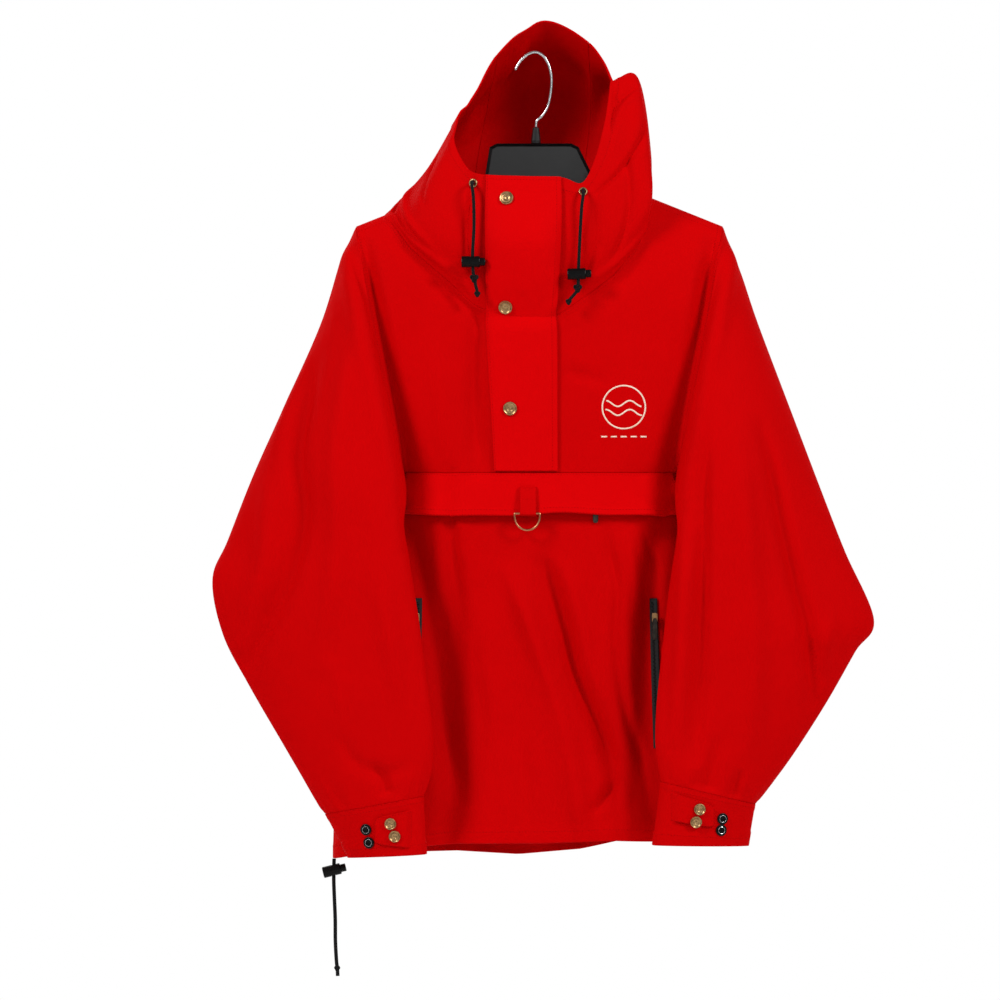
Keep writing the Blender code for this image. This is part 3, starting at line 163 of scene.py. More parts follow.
BACK_CREASES = (
    (10, 0.3, (-60, -240, 0), (-70, -330, -3), (-84, -430, -4), (-104, -540, -4.5), (-118, -660, -4),
     (-126, -790, -3), (-130, -880, -1)),
    (9, -0.3, (50, -230, 0), (56, -320, 2.5), (66, -430, 3), (70, -560, 3), (86, -680, 3), (96, -800, 2),
     (98, -880, 1)),
    (12, 0.0, (-8, -300, 0), (-4, -400, -2.5), (6, -520, -3.5), (10, -650, -4), (4, -780, -3),
     (0, -880, -1.5)),
    (8, 0.2, (150, -420, -1), (140, -480, -3.5), (132, -560, -4), (136, -650, -3), (146, -740, 0)),
    (8, -0.2, (-160, -430, -1), (-148, -500, -3), (-140, -590, -3.5), (-152, -700, -2), (-160, -780, 0)),
    (9, 0.0, (34, -640, 0), (44, -720, 2.5), (40, -800, 3), (44, -885, 1.5)),
    (8, 0.0, (-58, -620, 0), (-52, -700, 2.5), (-62, -790, 3), (-58, -890, 1.5)),
    (7, 0.3, (104, -620, 0), (116, -690, -3), (112, -770, -3), (120, -850, -1)),
    (12, 0.0, (-100, -215, 0), (-60, -228, -2), (0, -232, -2.5), (60, -226, -2), (96, -208, 0)),
    (8, 0.0, (170, -700, 0), (168, -760, 2.5), (176, -830, 2), (180, -886, 1)),
    (8, 0.0, (-176, -690, 0), (-180, -760, 2.5), (-190, -840, 2), (-196, -895, 1)),
)
# Height of the placket over its base at each level: z, height
PLACKET_BULGE = ((-600, 0), (-470, 0), (-399, 1.6), (-340, 4.4), (-312, 5.2), (-304, 2.0), (-297, -1.2),
                 (-286, 0.6), (-262, 5.2), (-220, 12.6), (-212, 12.9), (-146, 0), (-130, 0))


def ease(value):
    """Smooth step from 0 to 1: three t squared less two t cubed."""
    t = np.clip(value, 0.0, 1.0)
    return t * t * (3 - 2 * t)


def spline_at(rows, where, cyclic=False):
    """Catmull-Rom curve through rows, read at fractional row numbers: a cubic whose slope at each row is
    half the step from the row before to the row after."""
    rows = np.asarray(rows, float)
    count = len(rows)
    where = np.asarray(where, float)
    low = np.floor(where).astype(int)
    if not cyclic:
        low = np.clip(low, 0, count - 2)
    shape = (-1,) + (1,) * (rows.ndim - 1)
    t = (where - low).reshape(shape)

    def row(index):
        if cyclic:
            return rows[index % count]
        inside = rows[np.clip(index, 0, count - 1)]
        inside = np.where((index < 0).reshape(shape), 2 * rows[0] - rows[1], inside)
        return np.where((index > count - 1).reshape(shape), 2 * rows[-1] - rows[-2], inside)

    a, b, c, d = row(low - 1), row(low), row(low + 1), row(low + 2)
    return 0.5 * (2 * b + (c - a) * t + (2 * a - 5 * b + 4 * c - d) * t ** 2 + (3 * b - a - 3 * c + d) * t ** 3)


def spread(count):
    """Shares from 0 to 1, closer together at both ends: half of one less a cosine."""
    return (1 - np.cos(np.linspace(0, math.pi, count + 1))) / 2


def seam_shares(length, pitch):
    """Shares of a strip of some length: the seam stops at both ends and even steps of about a pitch between."""
    stops = np.array(SEAM_STOPS)
    inner = np.linspace(stops[-1], length - stops[-1], max(int((length - 2 * stops[-1]) / pitch), 2) + 1)
    return np.concatenate([[0], stops[:-1], inner, length - stops[-2::-1], [length]]) / length


def crease_height(x, z, creases):
    """Height of the listed creases: a bell of the distance to each smooth line, narrower on the side it
    leans to, times the height that runs along the line."""
    total = np.zeros(np.broadcast(x, z).shape)
    for width, lean, *line in creases:
        path = spline_at(np.array(line, float), np.linspace(0, len(line) - 1, 6 * (len(line) - 1) + 1))
        best = np.full(total.shape, 1e9)
        height = np.zeros(total.shape)
        for start, end in zip(path, path[1:]):
            step = end[:2] - start[:2]
            from_x, from_z = x - start[0], z - start[1]
            t = np.clip((from_x * step[0] + from_z * step[1]) / (step @ step), 0, 1)
            off_x, off_z = from_x - t * step[0], from_z - t * step[1]
            far = off_x ** 2 + off_z ** 2
            side = np.sign(step[0] * off_z - step[1] * off_x)
            wide = (width * (1 - lean * side * LEAN_SHARE)) ** 2
            here = (start[2] + (end[2] - start[2]) * t) * np.exp(-far / wide)
            height = np.where(far < best, here, height)
            best = np.minimum(best, far)
        total = total + height
    return total * np.where(total < 0, TROUGH_GAIN, RIDGE_GAIN)


def shoulder_z(x):
    """Height of the shoulder line: level over the hanger's middle, then a straight slope."""
    return SHOULDER_TOP_Z - SHOULDER_SLOPE * np.maximum(np.abs(x - MID_X) - SHOULDER_FLAT, 0)


def half_width(z):
    """Half width of the body: straight up the armholes, a quarter sine out to the hem below them."""
    up = np.clip((z - UNDERARM_Z) / (SHOULDER_END_Z - UNDERARM_Z), 0, 1)
    down = np.clip((UNDERARM_Z - z) / (UNDERARM_Z - SIDE_HEM_Z), 0, 1)
    return (UNDERARM_HALF + (SHOULDER_HALF - UNDERARM_HALF) * up
            + (HEM_HALF - UNDERARM_HALF) * np.sin(down * math.pi / 2))


def fold_depth(x, z, folds):
    """Sum of the large folds: a bell across each line, fading in and out along it."""
    total = np.zeros(np.broadcast(x, z).shape)
    for x_top, z_top, x_bottom, z_bottom, width, height in folds:
        along = (z_top - z) / (z_top - z_bottom)
        line = x_top + (x_bottom - x_top) * np.clip(along, 0, 1.2)
        fade = ease(along * 4) * ease((1.15 - along) * 4)
        total += height * fade * np.exp(-((x - line) / width) ** 2)
    return total


def body_y(x, z, side):
    """Depth of the front (side -1) or back (side 1): an ellipse over the shoulder and down the armhole,
    rounded back to the side seam below it, with the large folds and the listed creases."""
    inside = half_width(z) - np.abs(x - MID_X)
    rounding = SIDE_ROUNDING + HEM_ROUNDING * ease((UNDERARM_Z - z) / ROUNDING_RUN)
    share = np.clip(inside / rounding, 0, 1)
    across = np.sqrt(1 - (1 - share) ** 2)
    over = np.clip((shoulder_z(x) - z) / ARM_HALF_HEIGHT, 0, 1)
    over = np.sqrt(1 - (1 - over) ** 2)
    open_edge = np.clip((ARM_CENTRE_Z - z) / ARM_HALF_HEIGHT, 0, 1)
    open_edge = np.sqrt(1 - open_edge ** 2)
    seam = SIDE_SEAM_Y * ease((UNDERARM_Z - z) / SEAM_RUN)
    middle, folds, creases, gain = (
        (FRONT_Y, FRONT_FOLDS, FRONT_CREASES, 1) if side < 0 else (BACK_Y, BACK_FOLDS, BACK_CREASES, BACK_GAIN))
    depth = seam + (middle - seam) * over * (open_edge + (1 - open_edge) * across)
    laid = fold_depth(x, z, folds) + crease_height(x, z, creases) * over * gain
    return depth + side * laid * across


def on_body(x, z, side):
    """Points of the body's front or back over x and z."""
    return np.stack([x, body_y(x, z, side), z], axis=-1)


# ---- the hood's form ---------------------------------------------------------------------------
# Ribs in order round the neck from the front middle: foot x, z, side of the body (0 on the shoulder line), low
# x, y, z, high x, y, z, rim x, y, z
HOOD_RIBS = (
    (-14.6, -297, -1, -14.6, -50, -245, -14.6, -52, -190, -14.6, -46, -140),
    (-66, -286, -1, -66, -49, -240, -66, -49, -188, -65, -40, -137),
    (-100, -256, -1, -97, -48, -215, -91, -43, -170, -81, -28, -125),
    (-140, -221, -1, -134, -36, -190, -119, -30, -150, -92, -12, -100),
    (-164, -190, -1, -150, -8, -170, -121, -4, -134, -90, 0, -80),
    (-172, 0, 0, -154, 10, -165, -121, 18, -126, -85, 12, -64),
    (-132, -184, 1, -124, 60, -160, -97, 82, -100, -71, 22, -49),
    (-70, -188, 1, -74, 92, -160, -60, 116, -70, -44, 30, 1),
    (-15, -190, 1, -12, 106, -155, 0, 128, -42, 5, 26, 39),
    (54, -185, 1, 52, 94, -155, 62, 110, -58, 59, 26, 14),
    (102, -173, 1, 106, 62, -145, 104, 72, -62, 83, 14, -27),
    (128, 0, 0, 126, 14, -112, 112, 13, -26, 82, -5, -34),
    (121, -181, -1, 127, -26, -126, 114, -12, -46, 80, -14, -52),
    (115, -212, -1, 126, -46, -165, 109, -36, -92, 75, -24, -82),
    (86, -249, -1, 97, -49, -200, 90, -44, -142, 64, -32, -122),
    (54, -274, -1, 57, -52, -225, 56, -50, -180, 50, -38, -147),
    (22, -295, -1, 25, -50, -240, 27, -51, -188, 27, -43, -141),
)
RIB_COUNT = len(HOOD_RIBS)
CENTRE_PANEL = (7, 9)      # ribs at its two seams
SHOULDER_RIBS = (5, 11)    # ribs at the shoulder points, right and left
BACK_RIB = 8
RIB_PITCH = 50.0           # usual distance between two ribs
HOOD_HEIGHT = 250.0        # usual length of a rib
HOOD_ROW = 4.6             # usual distance between two rows
# The hood's creases grow over this height above the foot, and over this width from a seam where a part of
# them starts at once
FOOT_FADE = 26.0
SEAM_FADE = 16.0
SEAM_START = 4.0
# Creases of the hood in its own coordinates: 50 mm a rib across, 83 mm a level from foot to rim
HOOD_CREASES = (
    # inside back wall: trough behind the hook, fold from the crown lobe, deep hollow on the left
    (9, 0.0, (395, 60, 0), (400, 130, -3), (392, 190, -4), (398, 235, -1)),
    (10, 0.3, (330, 150, 0), (352, 190, -4), (372, 222, -4), (384, 245, -2)),
    (11, 0.0, (430, 110, 0), (452, 160, 4), (470, 205, 4), (480, 240, 1)),
    (9, 0.0, (500, 80, 0), (508, 150, -4), (516, 210, -4), (520, 245, -2)),
    (12, 0.0, (300, 90, 0), (290, 150, 4), (296, 210, 3), (300, 245, 1)),
    # swell over the neck seam
    (12, 0.0, (40, 24, 0), (100, 26, 2), (170, 26, 2.2), (225, 28, 0)),
    (12, 0.0, (600, 24, 0), (650, 26, 1.9), (720, 24, 1.9), (780, 24, 0)),
    # hollow under the crown's lobe, seen from inside
    (15, 0.0, (310, 180, 0), (352, 196, 4), (400, 204, 4.5), (448, 198, 4), (492, 184, 0)),
    # wearer's left side: folds from the ear down to the collar
    (7, 0.0, (550, 236, 0), (600, 234, -2), (640, 232, -2), (662, 236, 0)),
    (8, -0.2, (596, 150, 0), (604, 172, 2.4), (620, 204, 2.6), (652, 226, 0)),
    (6, 0.2, (590, 170, 0), (600, 184, -2.4), (612, 212, -2.4), (620, 242, 0)),
    (6, 0.3, (604, 126, 0), (622, 138, -2.6), (674, 162, -3.0), (718, 188, -2.4), (738, 192, 0)),
    (7, 0.0, (676, 170, 0), (682, 156, -2), (690, 112, -2.2), (705, 62, -1.8), (712, 30, 0)),
    (8, 0.0, (736, 200, 0), (738, 150, -2.2), (742, 70, -2.4), (772, 6, 0)),
    # wearer's right side
    (8, 0.0, (60, 240, -1), (66, 190, -3), (68, 130, -3), (60, 70, -2.5), (52, 16, 0)),
    (9, 0.0, (110, 40, 0), (150, 62, 2.5), (200, 90, 2.5), (240, 130, 0)),
    (8, 0.0, (140, 120, 0), (170, 150, -2), (206, 176, -2), (240, 210, 0)),
    (7, 0.0, (206, 30, 0), (222, 60, -2.5), (240, 110, -2), (262, 150, 0)),
)


def rib_points():
    """Four points of every rib: foot on the body, low, high and rim."""
    ribs = []
    for foot_x, foot_z, side, *rest in HOOD_RIBS:
        if side == 0:
            foot_z = float(shoulder_z(foot_x))
        foot_y = float(body_y(np.float64(foot_x), np.float64(foot_z), side or -1))
        ribs.append([(foot_x, foot_y, foot_z), rest[0:3], rest[3:6], rest[6:9]])
    return np.array(ribs, float)


def foot_line(where):
    """The neck seam at rib numbers, half way between straight and smooth but straight at the shoulder
    points, dropped on the body's form."""
    feet = rib_points()[:, 0]
    low = np.floor(where).astype(int)
    part = (where - low)[:, None]
    straight = feet[low % RIB_COUNT] * (1 - part) + feet[(low + 1) % RIB_COUNT] * part
    share = np.mod(where, RIB_COUNT)
    smooth = ease(np.minimum(np.abs(share - SHOULDER_RIBS[0]), np.abs(share - SHOULDER_RIBS[1]))) / 2
    points = straight + (spline_at(feet, where, cyclic=True) - straight) * smooth[:, None]
    behind = (share > SHOULDER_RIBS[0]) & (share < SHOULDER_RIBS[1])
    level = np.minimum(points[:, 2], shoulder_z(points[:, 0]))
    depth = np.where(behind, body_y(points[:, 0], level, 1), body_y(points[:, 0], level, -1))
    on_line = np.isclose(share, SHOULDER_RIBS[0]) | np.isclose(share, SHOULDER_RIBS[1])
    return np.stack([points[:, 0], np.where(on_line, 0.0, depth), level], axis=-1)


def hood_levels():
    """Levels from 0 at the foot to 3 at the rim, close together at both."""
    return seam_shares(HOOD_HEIGHT, HOOD_ROW) * 3


def hood_form(where):
    """The hood at rib numbers: a smooth surface through the ribs' points both ways, on the neck seam."""
    columns = spline_at(rib_points(), where, cyclic=True)
    columns[:, 0] = foot_line(where)
    flat = columns.transpose(1, 0, 2).reshape(4, -1)
    levels = spline_at(flat, hood_levels())
    return levels.reshape(len(levels), len(where), 3)


def hood_columns(first, last):
    """Rib numbers of a panel's columns, close together at its two seams."""
    even = np.arange(first * RIB_STEPS, last * RIB_STEPS + 1) / RIB_STEPS
    near = np.array(SEAM_STOPS) / RIB_PITCH
    return np.unique(np.round(np.concatenate([even, first + near, last - near]), 6))


def neck_columns(first, last):
    """Rib numbers of the hood's columns between two ribs, in order from the first."""
    seam_a, seam_b = CENTRE_PANEL
    every = [hood_columns(0, seam_a), hood_columns(seam_a, seam_b), hood_columns(seam_b, RIB_COUNT)]
    every = np.unique(np.concatenate(every))
    low, high = min(first, last), max(first, last)
    chosen = every[(every >= low - 1e-6) & (every <= high + 1e-6)]
    return chosen if first < last else chosen[::-1]


# ---- body panels -------------------------------------------------------------------------------
def chest_top(side_sign, behind):
    """Top edge of a half panel from the shoulder end to the middle: shoulder, then neck seam."""
    rib = SHOULDER_RIBS[0] if side_sign < 0 else SHOULDER_RIBS[1]
    middle_rib = BACK_RIB if behind else (0 if side_sign < 0 else RIB_COUNT)
    neck = foot_line(neck_columns(rib, middle_rib))
    end_x = MID_X + side_sign * SHOULDER_HALF
    stops = np.array(SEAM_STOPS) / abs(neck[0, 0] - end_x)
    share = np.unique(np.concatenate([np.linspace(0, 1, SHOULDER_STEPS + 1)[:-1], stops]))
    shoulder_x = end_x + (neck[0, 0] - end_x) * share
    shoulder = np.stack([shoulder_x, np.zeros_like(shoulder_x), shoulder_z(shoulder_x)], axis=-1)
    return np.concatenate([shoulder, neck]), len(share)


def level_x(top, count, side_sign, middle_x):
    """Where a half panel's columns meet the underarm level: those from the shoulder take a fixed share, the
    others are spaced as along the neck seam."""
    step = np.hypot(np.diff(top[:, 0]), np.diff(top[:, 2]))
    step[:count] *= SHOULDER_SHARE / step[:count].sum()
    step[count:] *= (1 - SHOULDER_SHARE) / step[count:].sum()
    share = np.concatenate([[0], np.cumsum(step)])
    edge = MID_X + side_sign * UNDERARM_HALF
    return edge + (middle_x - edge) * share


def upper_half(side_sign, behind, middle_x):
    """One upper half panel: straight columns from its top edge to the underarm level, laid on the form."""
    top, count = chest_top(side_sign, behind)
    base = level_x(top, count, side_sign, middle_x)
    share = spread(RING_STEPS // 2)[:, None]
    x = top[None, :, 0] + (base - top[:, 0])[None] * share
    z = top[None, :, 2] + (UNDERARM_Z - top[:, 2])[None] * share
    grid = on_body(x, z, 1 if behind else -1)
    grid[0] = top
    return grid


def lower_panel(base_x, side):
    """A lower panel: columns that fan out with the side seams from the underarm level to the hem."""
    share = seam_shares(LOWER_HEIGHT, LOWER_HEIGHT / LOWER_ROWS)[:, None]
    table = np.array(FRONT_HEM if side < 0 else BACK_HEM, float)
    across = (base_x - MID_X) / UNDERARM_HALF
    hem = np.interp(across, table[:, 0], table[:, 1])
    z = UNDERARM_Z + (hem[None] - UNDERARM_Z) * share ** ROW_POWER
    x = MID_X + across[None] * half_width(z)
    return on_body(x, z, side)


# ---- sleeves and cuffs -------------------------------------------------------------------------
# Sections of the sleeves below the armhole: right outer x, z, right inner x, z, left outer x, z, left inner
# x, z, y inner, y outer, depth
SLEEVE_SECTIONS = (
    (-210, -211, -153, -476, 215, -212, 159, -476, -3, 3, 96),
    (-221, -236, -149, -487, 230, -250, 156, -488, -20, 0, 100),
    (-243, -306, -147, -503, 248, -304, 155, -505, -40, -4, 100),
    (-286, -403, -149, -530, 286, -405, 157, -535, -60, -8, 90),
    (-318, -475, -144, -562, 318, -490, 152, -570, -70, -14, 76),
    (-346, -547, -138, -600, 345, -560, 146, -610, -76, -20, 64),
    (-363, -591, -132, -637, 377, -636, 141, -655, -79, -26, 54),
    (-351, -652, -126, -685, 356, -671, 137, -692, -80, -32, 48),
    (-322, -708, -120, -728, 325, -725, 133, -735, -80, -38, 46),
    (-284, -773, -116, -768, 291, -778, 132, -772, -79, -44, 44),
    (-255, -822, -118, -802, 265, -814, 135, -795, -77, -48, 44),
    (-236, -852, -127, -831, 243, -841, 138, -815, -75, -50, 42),
)
# Lower edge of the cuffs: outer x, z, inner x, z, y inner, y outer, depth
CUFF_EDGE = {
    "right": (-210, -901, -124, -896, -75, -50, 38),
    "left": (235, -888, 129, -886, -75, -50, 38),
}
SLEEVE_LENGTH = 640.0
SLEEVE_ROW = 5.0           # usual distance between two rows
CUFF_LENGTH = 66.0
CUFF_ROW = 4.0
GATHER_START = 0.87        # share of the sleeve's length where its gathers start
GATHER_HEIGHT = 1.1
# Creases of the sleeves, laid on the front or the back as seen from there
SLEEVE_CREASES = {
    ("right", -1): (
        (11, 0.2, (-243, -322, 0), (-258, -390, -5), (-268, -450, -6.5), (-262, -520, -6), (-278, -590, -6),
         (-316, -672, -5), (-330, -700, 0)),
        (13, 0.0, (-200, -300, 0), (-214, -380, 4), (-224, -460, 4), (-222, -540, 4), (-232, -620, 3),
         (-250, -680, 0)),
        (12, 0.0, (-298, -470, 0), (-300, -520, 4), (-306, -580, 4), (-330, -640, 0)),
        (8, 0.3, (-222, -756, 0), (-214, -776, -1.2), (-200, -794, -1.8), (-178, -805, -1.6),
         (-152, -800, -1.2), (-136, -786, 0)),
        (11, 0.0, (-254, -700, 0), (-238, -684, 1.1), (-224, -696, 1.4), (-222, -730, 1.2), (-226, -770, 0)),
        (7, 0.0, (-180, -800, -2), (-172, -812, -4), (-168, -824, -4)),
        (12, 0.0, (-176, -560, 0), (-170, -620, 3), (-160, -680, 3), (-152, -740, 0)),
        (7, 0.0, (-250, -330, 0), (-268, -360, 2), (-286, -420, 2), (-296, -450, 0)),
        (11, 0.0, (-214, -216, 2), (-206, -262, 5.5), (-193, -330, 5.5), (-180, -390, 5.5), (-166, -450, 5),
         (-156, -500, 3), (-150, -560, 0)),
    ),
    ("left", -1): (
        (11, 0.0, (218, -216, 2), (210, -262, 5.5), (198, -330, 5.5), (186, -390, 5.5), (174, -450, 5),
         (164, -510, 3), (158, -560, 0)),
        (10, 0.5, (188, -420, 0), (186, -480, -5), (186, -560, -6), (184, -640, -6), (182, -700, -5),
         (178, -770, -3), (176, -800, 0)),
        (10, -0.3, (168, -520, 0), (164, -580, 4), (160, -650, 4), (156, -720, 4), (152, -780, 0)),
        (8, 0.3, (244, -400, 0), (262, -460, -4), (274, -520, -5.5), (290, -590, -6), (304, -650, -6),
         (310, -710, -4), (308, -740, 0)),
        (14, 0.0, (220, -420, 0), (228, -500, 3.5), (236, -590, 4), (240, -680, 4), (236, -760, 2),
         (232, -800, 0)),
        (8, 0.0, (330, -620, 0), (322, -660, 3), (316, -700, 0)),
        (9, 0.0, (200, -760, 0), (196, -790, -3), (190, -815, -4), (186, -830, -3)),
        (6, 0.0, (228, -800, 0), (222, -815, -3), (218, -832, -3)),
    ),
    ("right", 1): (
        (10, 0.2, (-236, -320, 0), (-250, -400, -5), (-270, -480, -5), (-300, -560, -4), (-326, -620, 0)),
        (9, -0.2, (-180, -480, 0), (-190, -560, -5), (-214, -650, -5), (-236, -740, -4), (-240, -800, 0)),
        (12, 0.0, (-210, -500, 0), (-240, -600, 4), (-270, -680, 4), (-280, -740, 0)),
        (8, 0.0, (-150, -640, 0), (-160, -700, -4), (-170, -780, -4), (-176, -830, -2)),
        (8, 0.0, (-330, -570, 0), (-300, -600, -4), (-268, -610, -3), (-240, -600, 0)),
    ),
    ("left", 1): (
        (10, 0.2, (240, -330, 0), (256, -410, -5), (280, -490, -5), (306, -570, -4), (340, -640, 0)),
        (9, -0.2, (186, -500, 0), (200, -580, -5), (222, -660, -5), (238, -750, -4), (236, -800, 0)),
        (12, 0.0, (214, -520, 0), (250, -620, 4), (276, -700, 4), (282, -750, 0)),
        (8, 0.0, (160, -650, 0), (168, -710, -4), (180, -780, -4), (188, -820, -2)),
        (8, 0.0, (346, -600, 0), (310, -620, -4), (280, -640, -3), (250, -636, 0)),
    ),
}


def ring_angles():
    """Angles round a ring from its outer fold over the front to the inner fold and back."""
    return np.linspace(0, 2 * math.pi, RING_STEPS, endpoint=False)


def flat_ring(outer, inner, y_inner, y_outer, depth):
    """A flattened ring between an outer and an inner fold, its depth an ellipse across."""
    angle = ring_angles()
    share = (1 - np.cos(angle)) / 2
    x = outer[0] + (inner[0] - outer[0]) * share
    z = outer[1] + (inner[1] - outer[1]) * share
    y = y_outer + (y_inner - y_outer) * share - depth / 2 * np.sin(angle)
    return np.stack([x, y, z], axis=-1)


def armhole_ring(side_sign):
    """The armhole on the body's form, from the shoulder end down the front and up the back."""
    angle = ring_angles()
    z = SHOULDER_END_Z + (UNDERARM_Z - SHOULDER_END_Z) * (1 - np.cos(angle)) / 2
    x = MID_X + side_sign * half_width(z)
    y = np.where(angle < math.pi, body_y(x, z, -1), body_y(x, z, 1))
    y[0] = 0.0
    y[RING_STEPS // 2] = 0.0
    return np.stack([x, y, z], axis=-1)


def sleeve_rings(side):
    """Rings of a sleeve: the armhole, then the table's sections."""
    first = 0 if side == "right" else 4
    rings = [armhole_ring(-1 if side == "right" else 1)]
    for row in SLEEVE_SECTIONS:
        outer_x, outer_z, inner_x, inner_z = row[first:first + 4]
        rings.append(flat_ring((outer_x, outer_z), (inner_x, inner_z), *row[8:]))
    return np.array(rings)


def sleeve_form(side):
    """A smooth tube through the rings; its creases fade out at the armhole, the cuff and the two folds."""
    rings = sleeve_rings(side)
    share = seam_shares(SLEEVE_LENGTH, SLEEVE_ROW)
    where = share * (len(rings) - 1)
    grid = spline_at(rings.reshape(len(rings), -1), where).reshape(len(where), RING_STEPS, 3)
    front = np.sin(ring_angles())[None]
    fade = (ease(share * 9) * ease((1 - share) * 40))[:, None]
    height = np.zeros(grid.shape[:2])
    for facing in (-1, 1):
        mask = ease(-facing * front * 2.6)
        height += SLEEVE_GAIN * crease_height(grid[..., 0], grid[..., 2], SLEEVE_CREASES[side, facing]) * mask
    return move_out(grid, (height + cuff_gathers(share, side)) * fade, ring=True)


def cuff_gathers(share, side):
    """Small uneven pleats where the sleeve is gathered into its cuff: three sine waves round the ring that
    start some 80 mm above the cuff and grow towards it, stronger and weaker by a fourth."""
    angle = ring_angles()[None]
    grow = ease((share - GATHER_START) / (1 - GATHER_START))[:, None]
    shift = 0.6 if side == "right" else 2.1
    wave = np.sin(angle * 11 + shift) + 0.7 * np.sin(angle * 17 + 2 * shift) + 0.5 * np.sin(angle * 5 - shift)
    return GATHER_HEIGHT * grow * wave * (0.6 + 0.4 * np.sin(angle * 3 + shift))


def cuff_ring(side, share):
    """Rings of a cuff at shares of its height, straight between the sleeve's last ring and the edge."""
    seam = sleeve_rings(side)[-1]
    edge = CUFF_EDGE[side]
    lower = flat_ring(edge[0:2], edge[2:4], *edge[4:])
    return seam[None] + (lower - seam)[None] * np.reshape(share, (-1, 1, 1))


def on_cuff(side, x, z):
    """Points on the front of a cuff over x and z.

    The cuff is ruled between two flat rings, so height share and width share are each solved from one
    coordinate in turn until both hold.
    """
    first = 0 if side == "right" else 4
    seam = SLEEVE_SECTIONS[-1]
    edge = CUFF_EDGE[side]
    top = np.array([*seam[first:first + 4], *seam[8:]], float)
    low = np.array([*edge[0:4], *edge[4:]], float)
    height = np.full(np.shape(x), 0.5)
    for _ in range(12):
        now = top[:, None] + (low - top)[:, None] * height.ravel()[None]
        across = (x.ravel() - now[0]) / (now[2] - now[0])
        at_top = top[1] + (top[3] - top[1]) * across
        at_low = low[1] + (low[3] - low[1]) * across
        height = ((z.ravel() - at_top) / (at_low - at_top)).reshape(np.shape(x))
    now = top[:, None] + (low - top)[:, None] * height.ravel()[None]
    share = np.clip(across, 0, 1)
    sine = 2 * np.sqrt(share * (1 - share))
    y = now[5] + (now[4] - now[5]) * share - now[6] / 2 * sine
    return np.stack([x, y.reshape(np.shape(x)), z], axis=-1)


# ---- cloth shells ------------------------------------------------------------------------------
WALL = 1.5                 # shell cloth with its seam allowances
DOUBLE_WALL = 2.0          # placket, flap and tabs, which are sewn double
REST = 0.35                # clearance of a piece that lies on another
EDGE_ROUND = 0.8           # distance over which a panel's edge rolls in
BAND_FALL = 1.7            # distance over which a folded band falls back to the cloth
# Raised band beside an edge, where the cloth is folded under: height, width
EDGES = {"seam": (0.45, 7.0), "hem": (0.8, 15.0), "plain": (0.0, 0.0)}
SURFACES = {}              # outer surface and normals of each built sheet, for what is sewn on it


def grid_normals(grid, ring=False):
    """Unit normals out of the garment: the cross product of the steps across and down the grid, turned
    away from the middle of the body or of the ring."""
    if ring:
        across = np.roll(grid, -1, axis=1) - np.roll(grid, 1, axis=1)
        heart = grid.mean(axis=1, keepdims=True)
    else:
        across = np.gradient(grid, axis=1)
        heart = np.stack([0 * grid[..., 0] + MID_X, 0 * grid[..., 0] + 12, grid[..., 2]], axis=-1)
    normal = np.cross(across, np.gradient(grid, axis=0))
    normal /= np.maximum(np.linalg.norm(normal, axis=-1, keepdims=True), 1e-9)
    return normal * np.sign(np.sum(normal * (grid - heart)))


def move_out(grid, distance, ring=False):
    """Move a grid out of the cloth by a distance: one value, one a column or one a point."""
    return grid + grid_normals(grid, ring) * np.broadcast_to(distance, grid.shape[:2])[..., None]


def corners(grid):
    """The four corners of every cell of a grid, in order round it."""
    return np.stack([grid[:-1, :-1], grid[:-1, 1:], grid[1:, 1:], grid[1:, :-1]], axis=2)


def cell_cross(grid):
    """Cross product of two sides of every cell: square to it and as long as its area."""
    return np.cross(grid[:-1, 1:] - grid[:-1, :-1], grid[1:, :-1] - grid[:-1, :-1])


def joined(grid, axis=1):
    """A grid with its first column, or row, again at its end."""
    return np.concatenate([grid, np.take(grid, [0], axis=axis)], axis=axis)


def numbered(rows, columns):
    """A grid of the numbers of its points."""
    return np.arange(rows * columns).reshape(rows, columns)


def read_along(stops, run, line):
    """Points at distances along a line of points, straight between them."""
    return np.stack([np.interp(stops, run, line[:, axis]) for axis in range(3)], axis=-1)


def lengths(grid, axis):
    """Distance run along a grid from its first row or column."""
    step = np.linalg.norm(np.diff(grid, axis=axis), axis=-1)
    return np.concatenate([np.zeros_like(np.take(step, [0], axis=axis)), np.cumsum(step, axis=axis)], axis=axis)


def flat_places(grid):
    """Where each point lies on the flat piece, in metres: run across and run down."""
    return np.stack([lengths(grid, 1), lengths(grid, 0)], axis=-1) * MM


def edge_distances(grid, ring):
    """Distance of every point from each edge of its panel."""
    down = lengths(grid, 0)
    far = {"top": down, "bottom": down[-1:] - down}
    if not ring:
        across = lengths(grid, 1)
        far |= {"left": across, "right": across[:, -1:] - across}
    return far


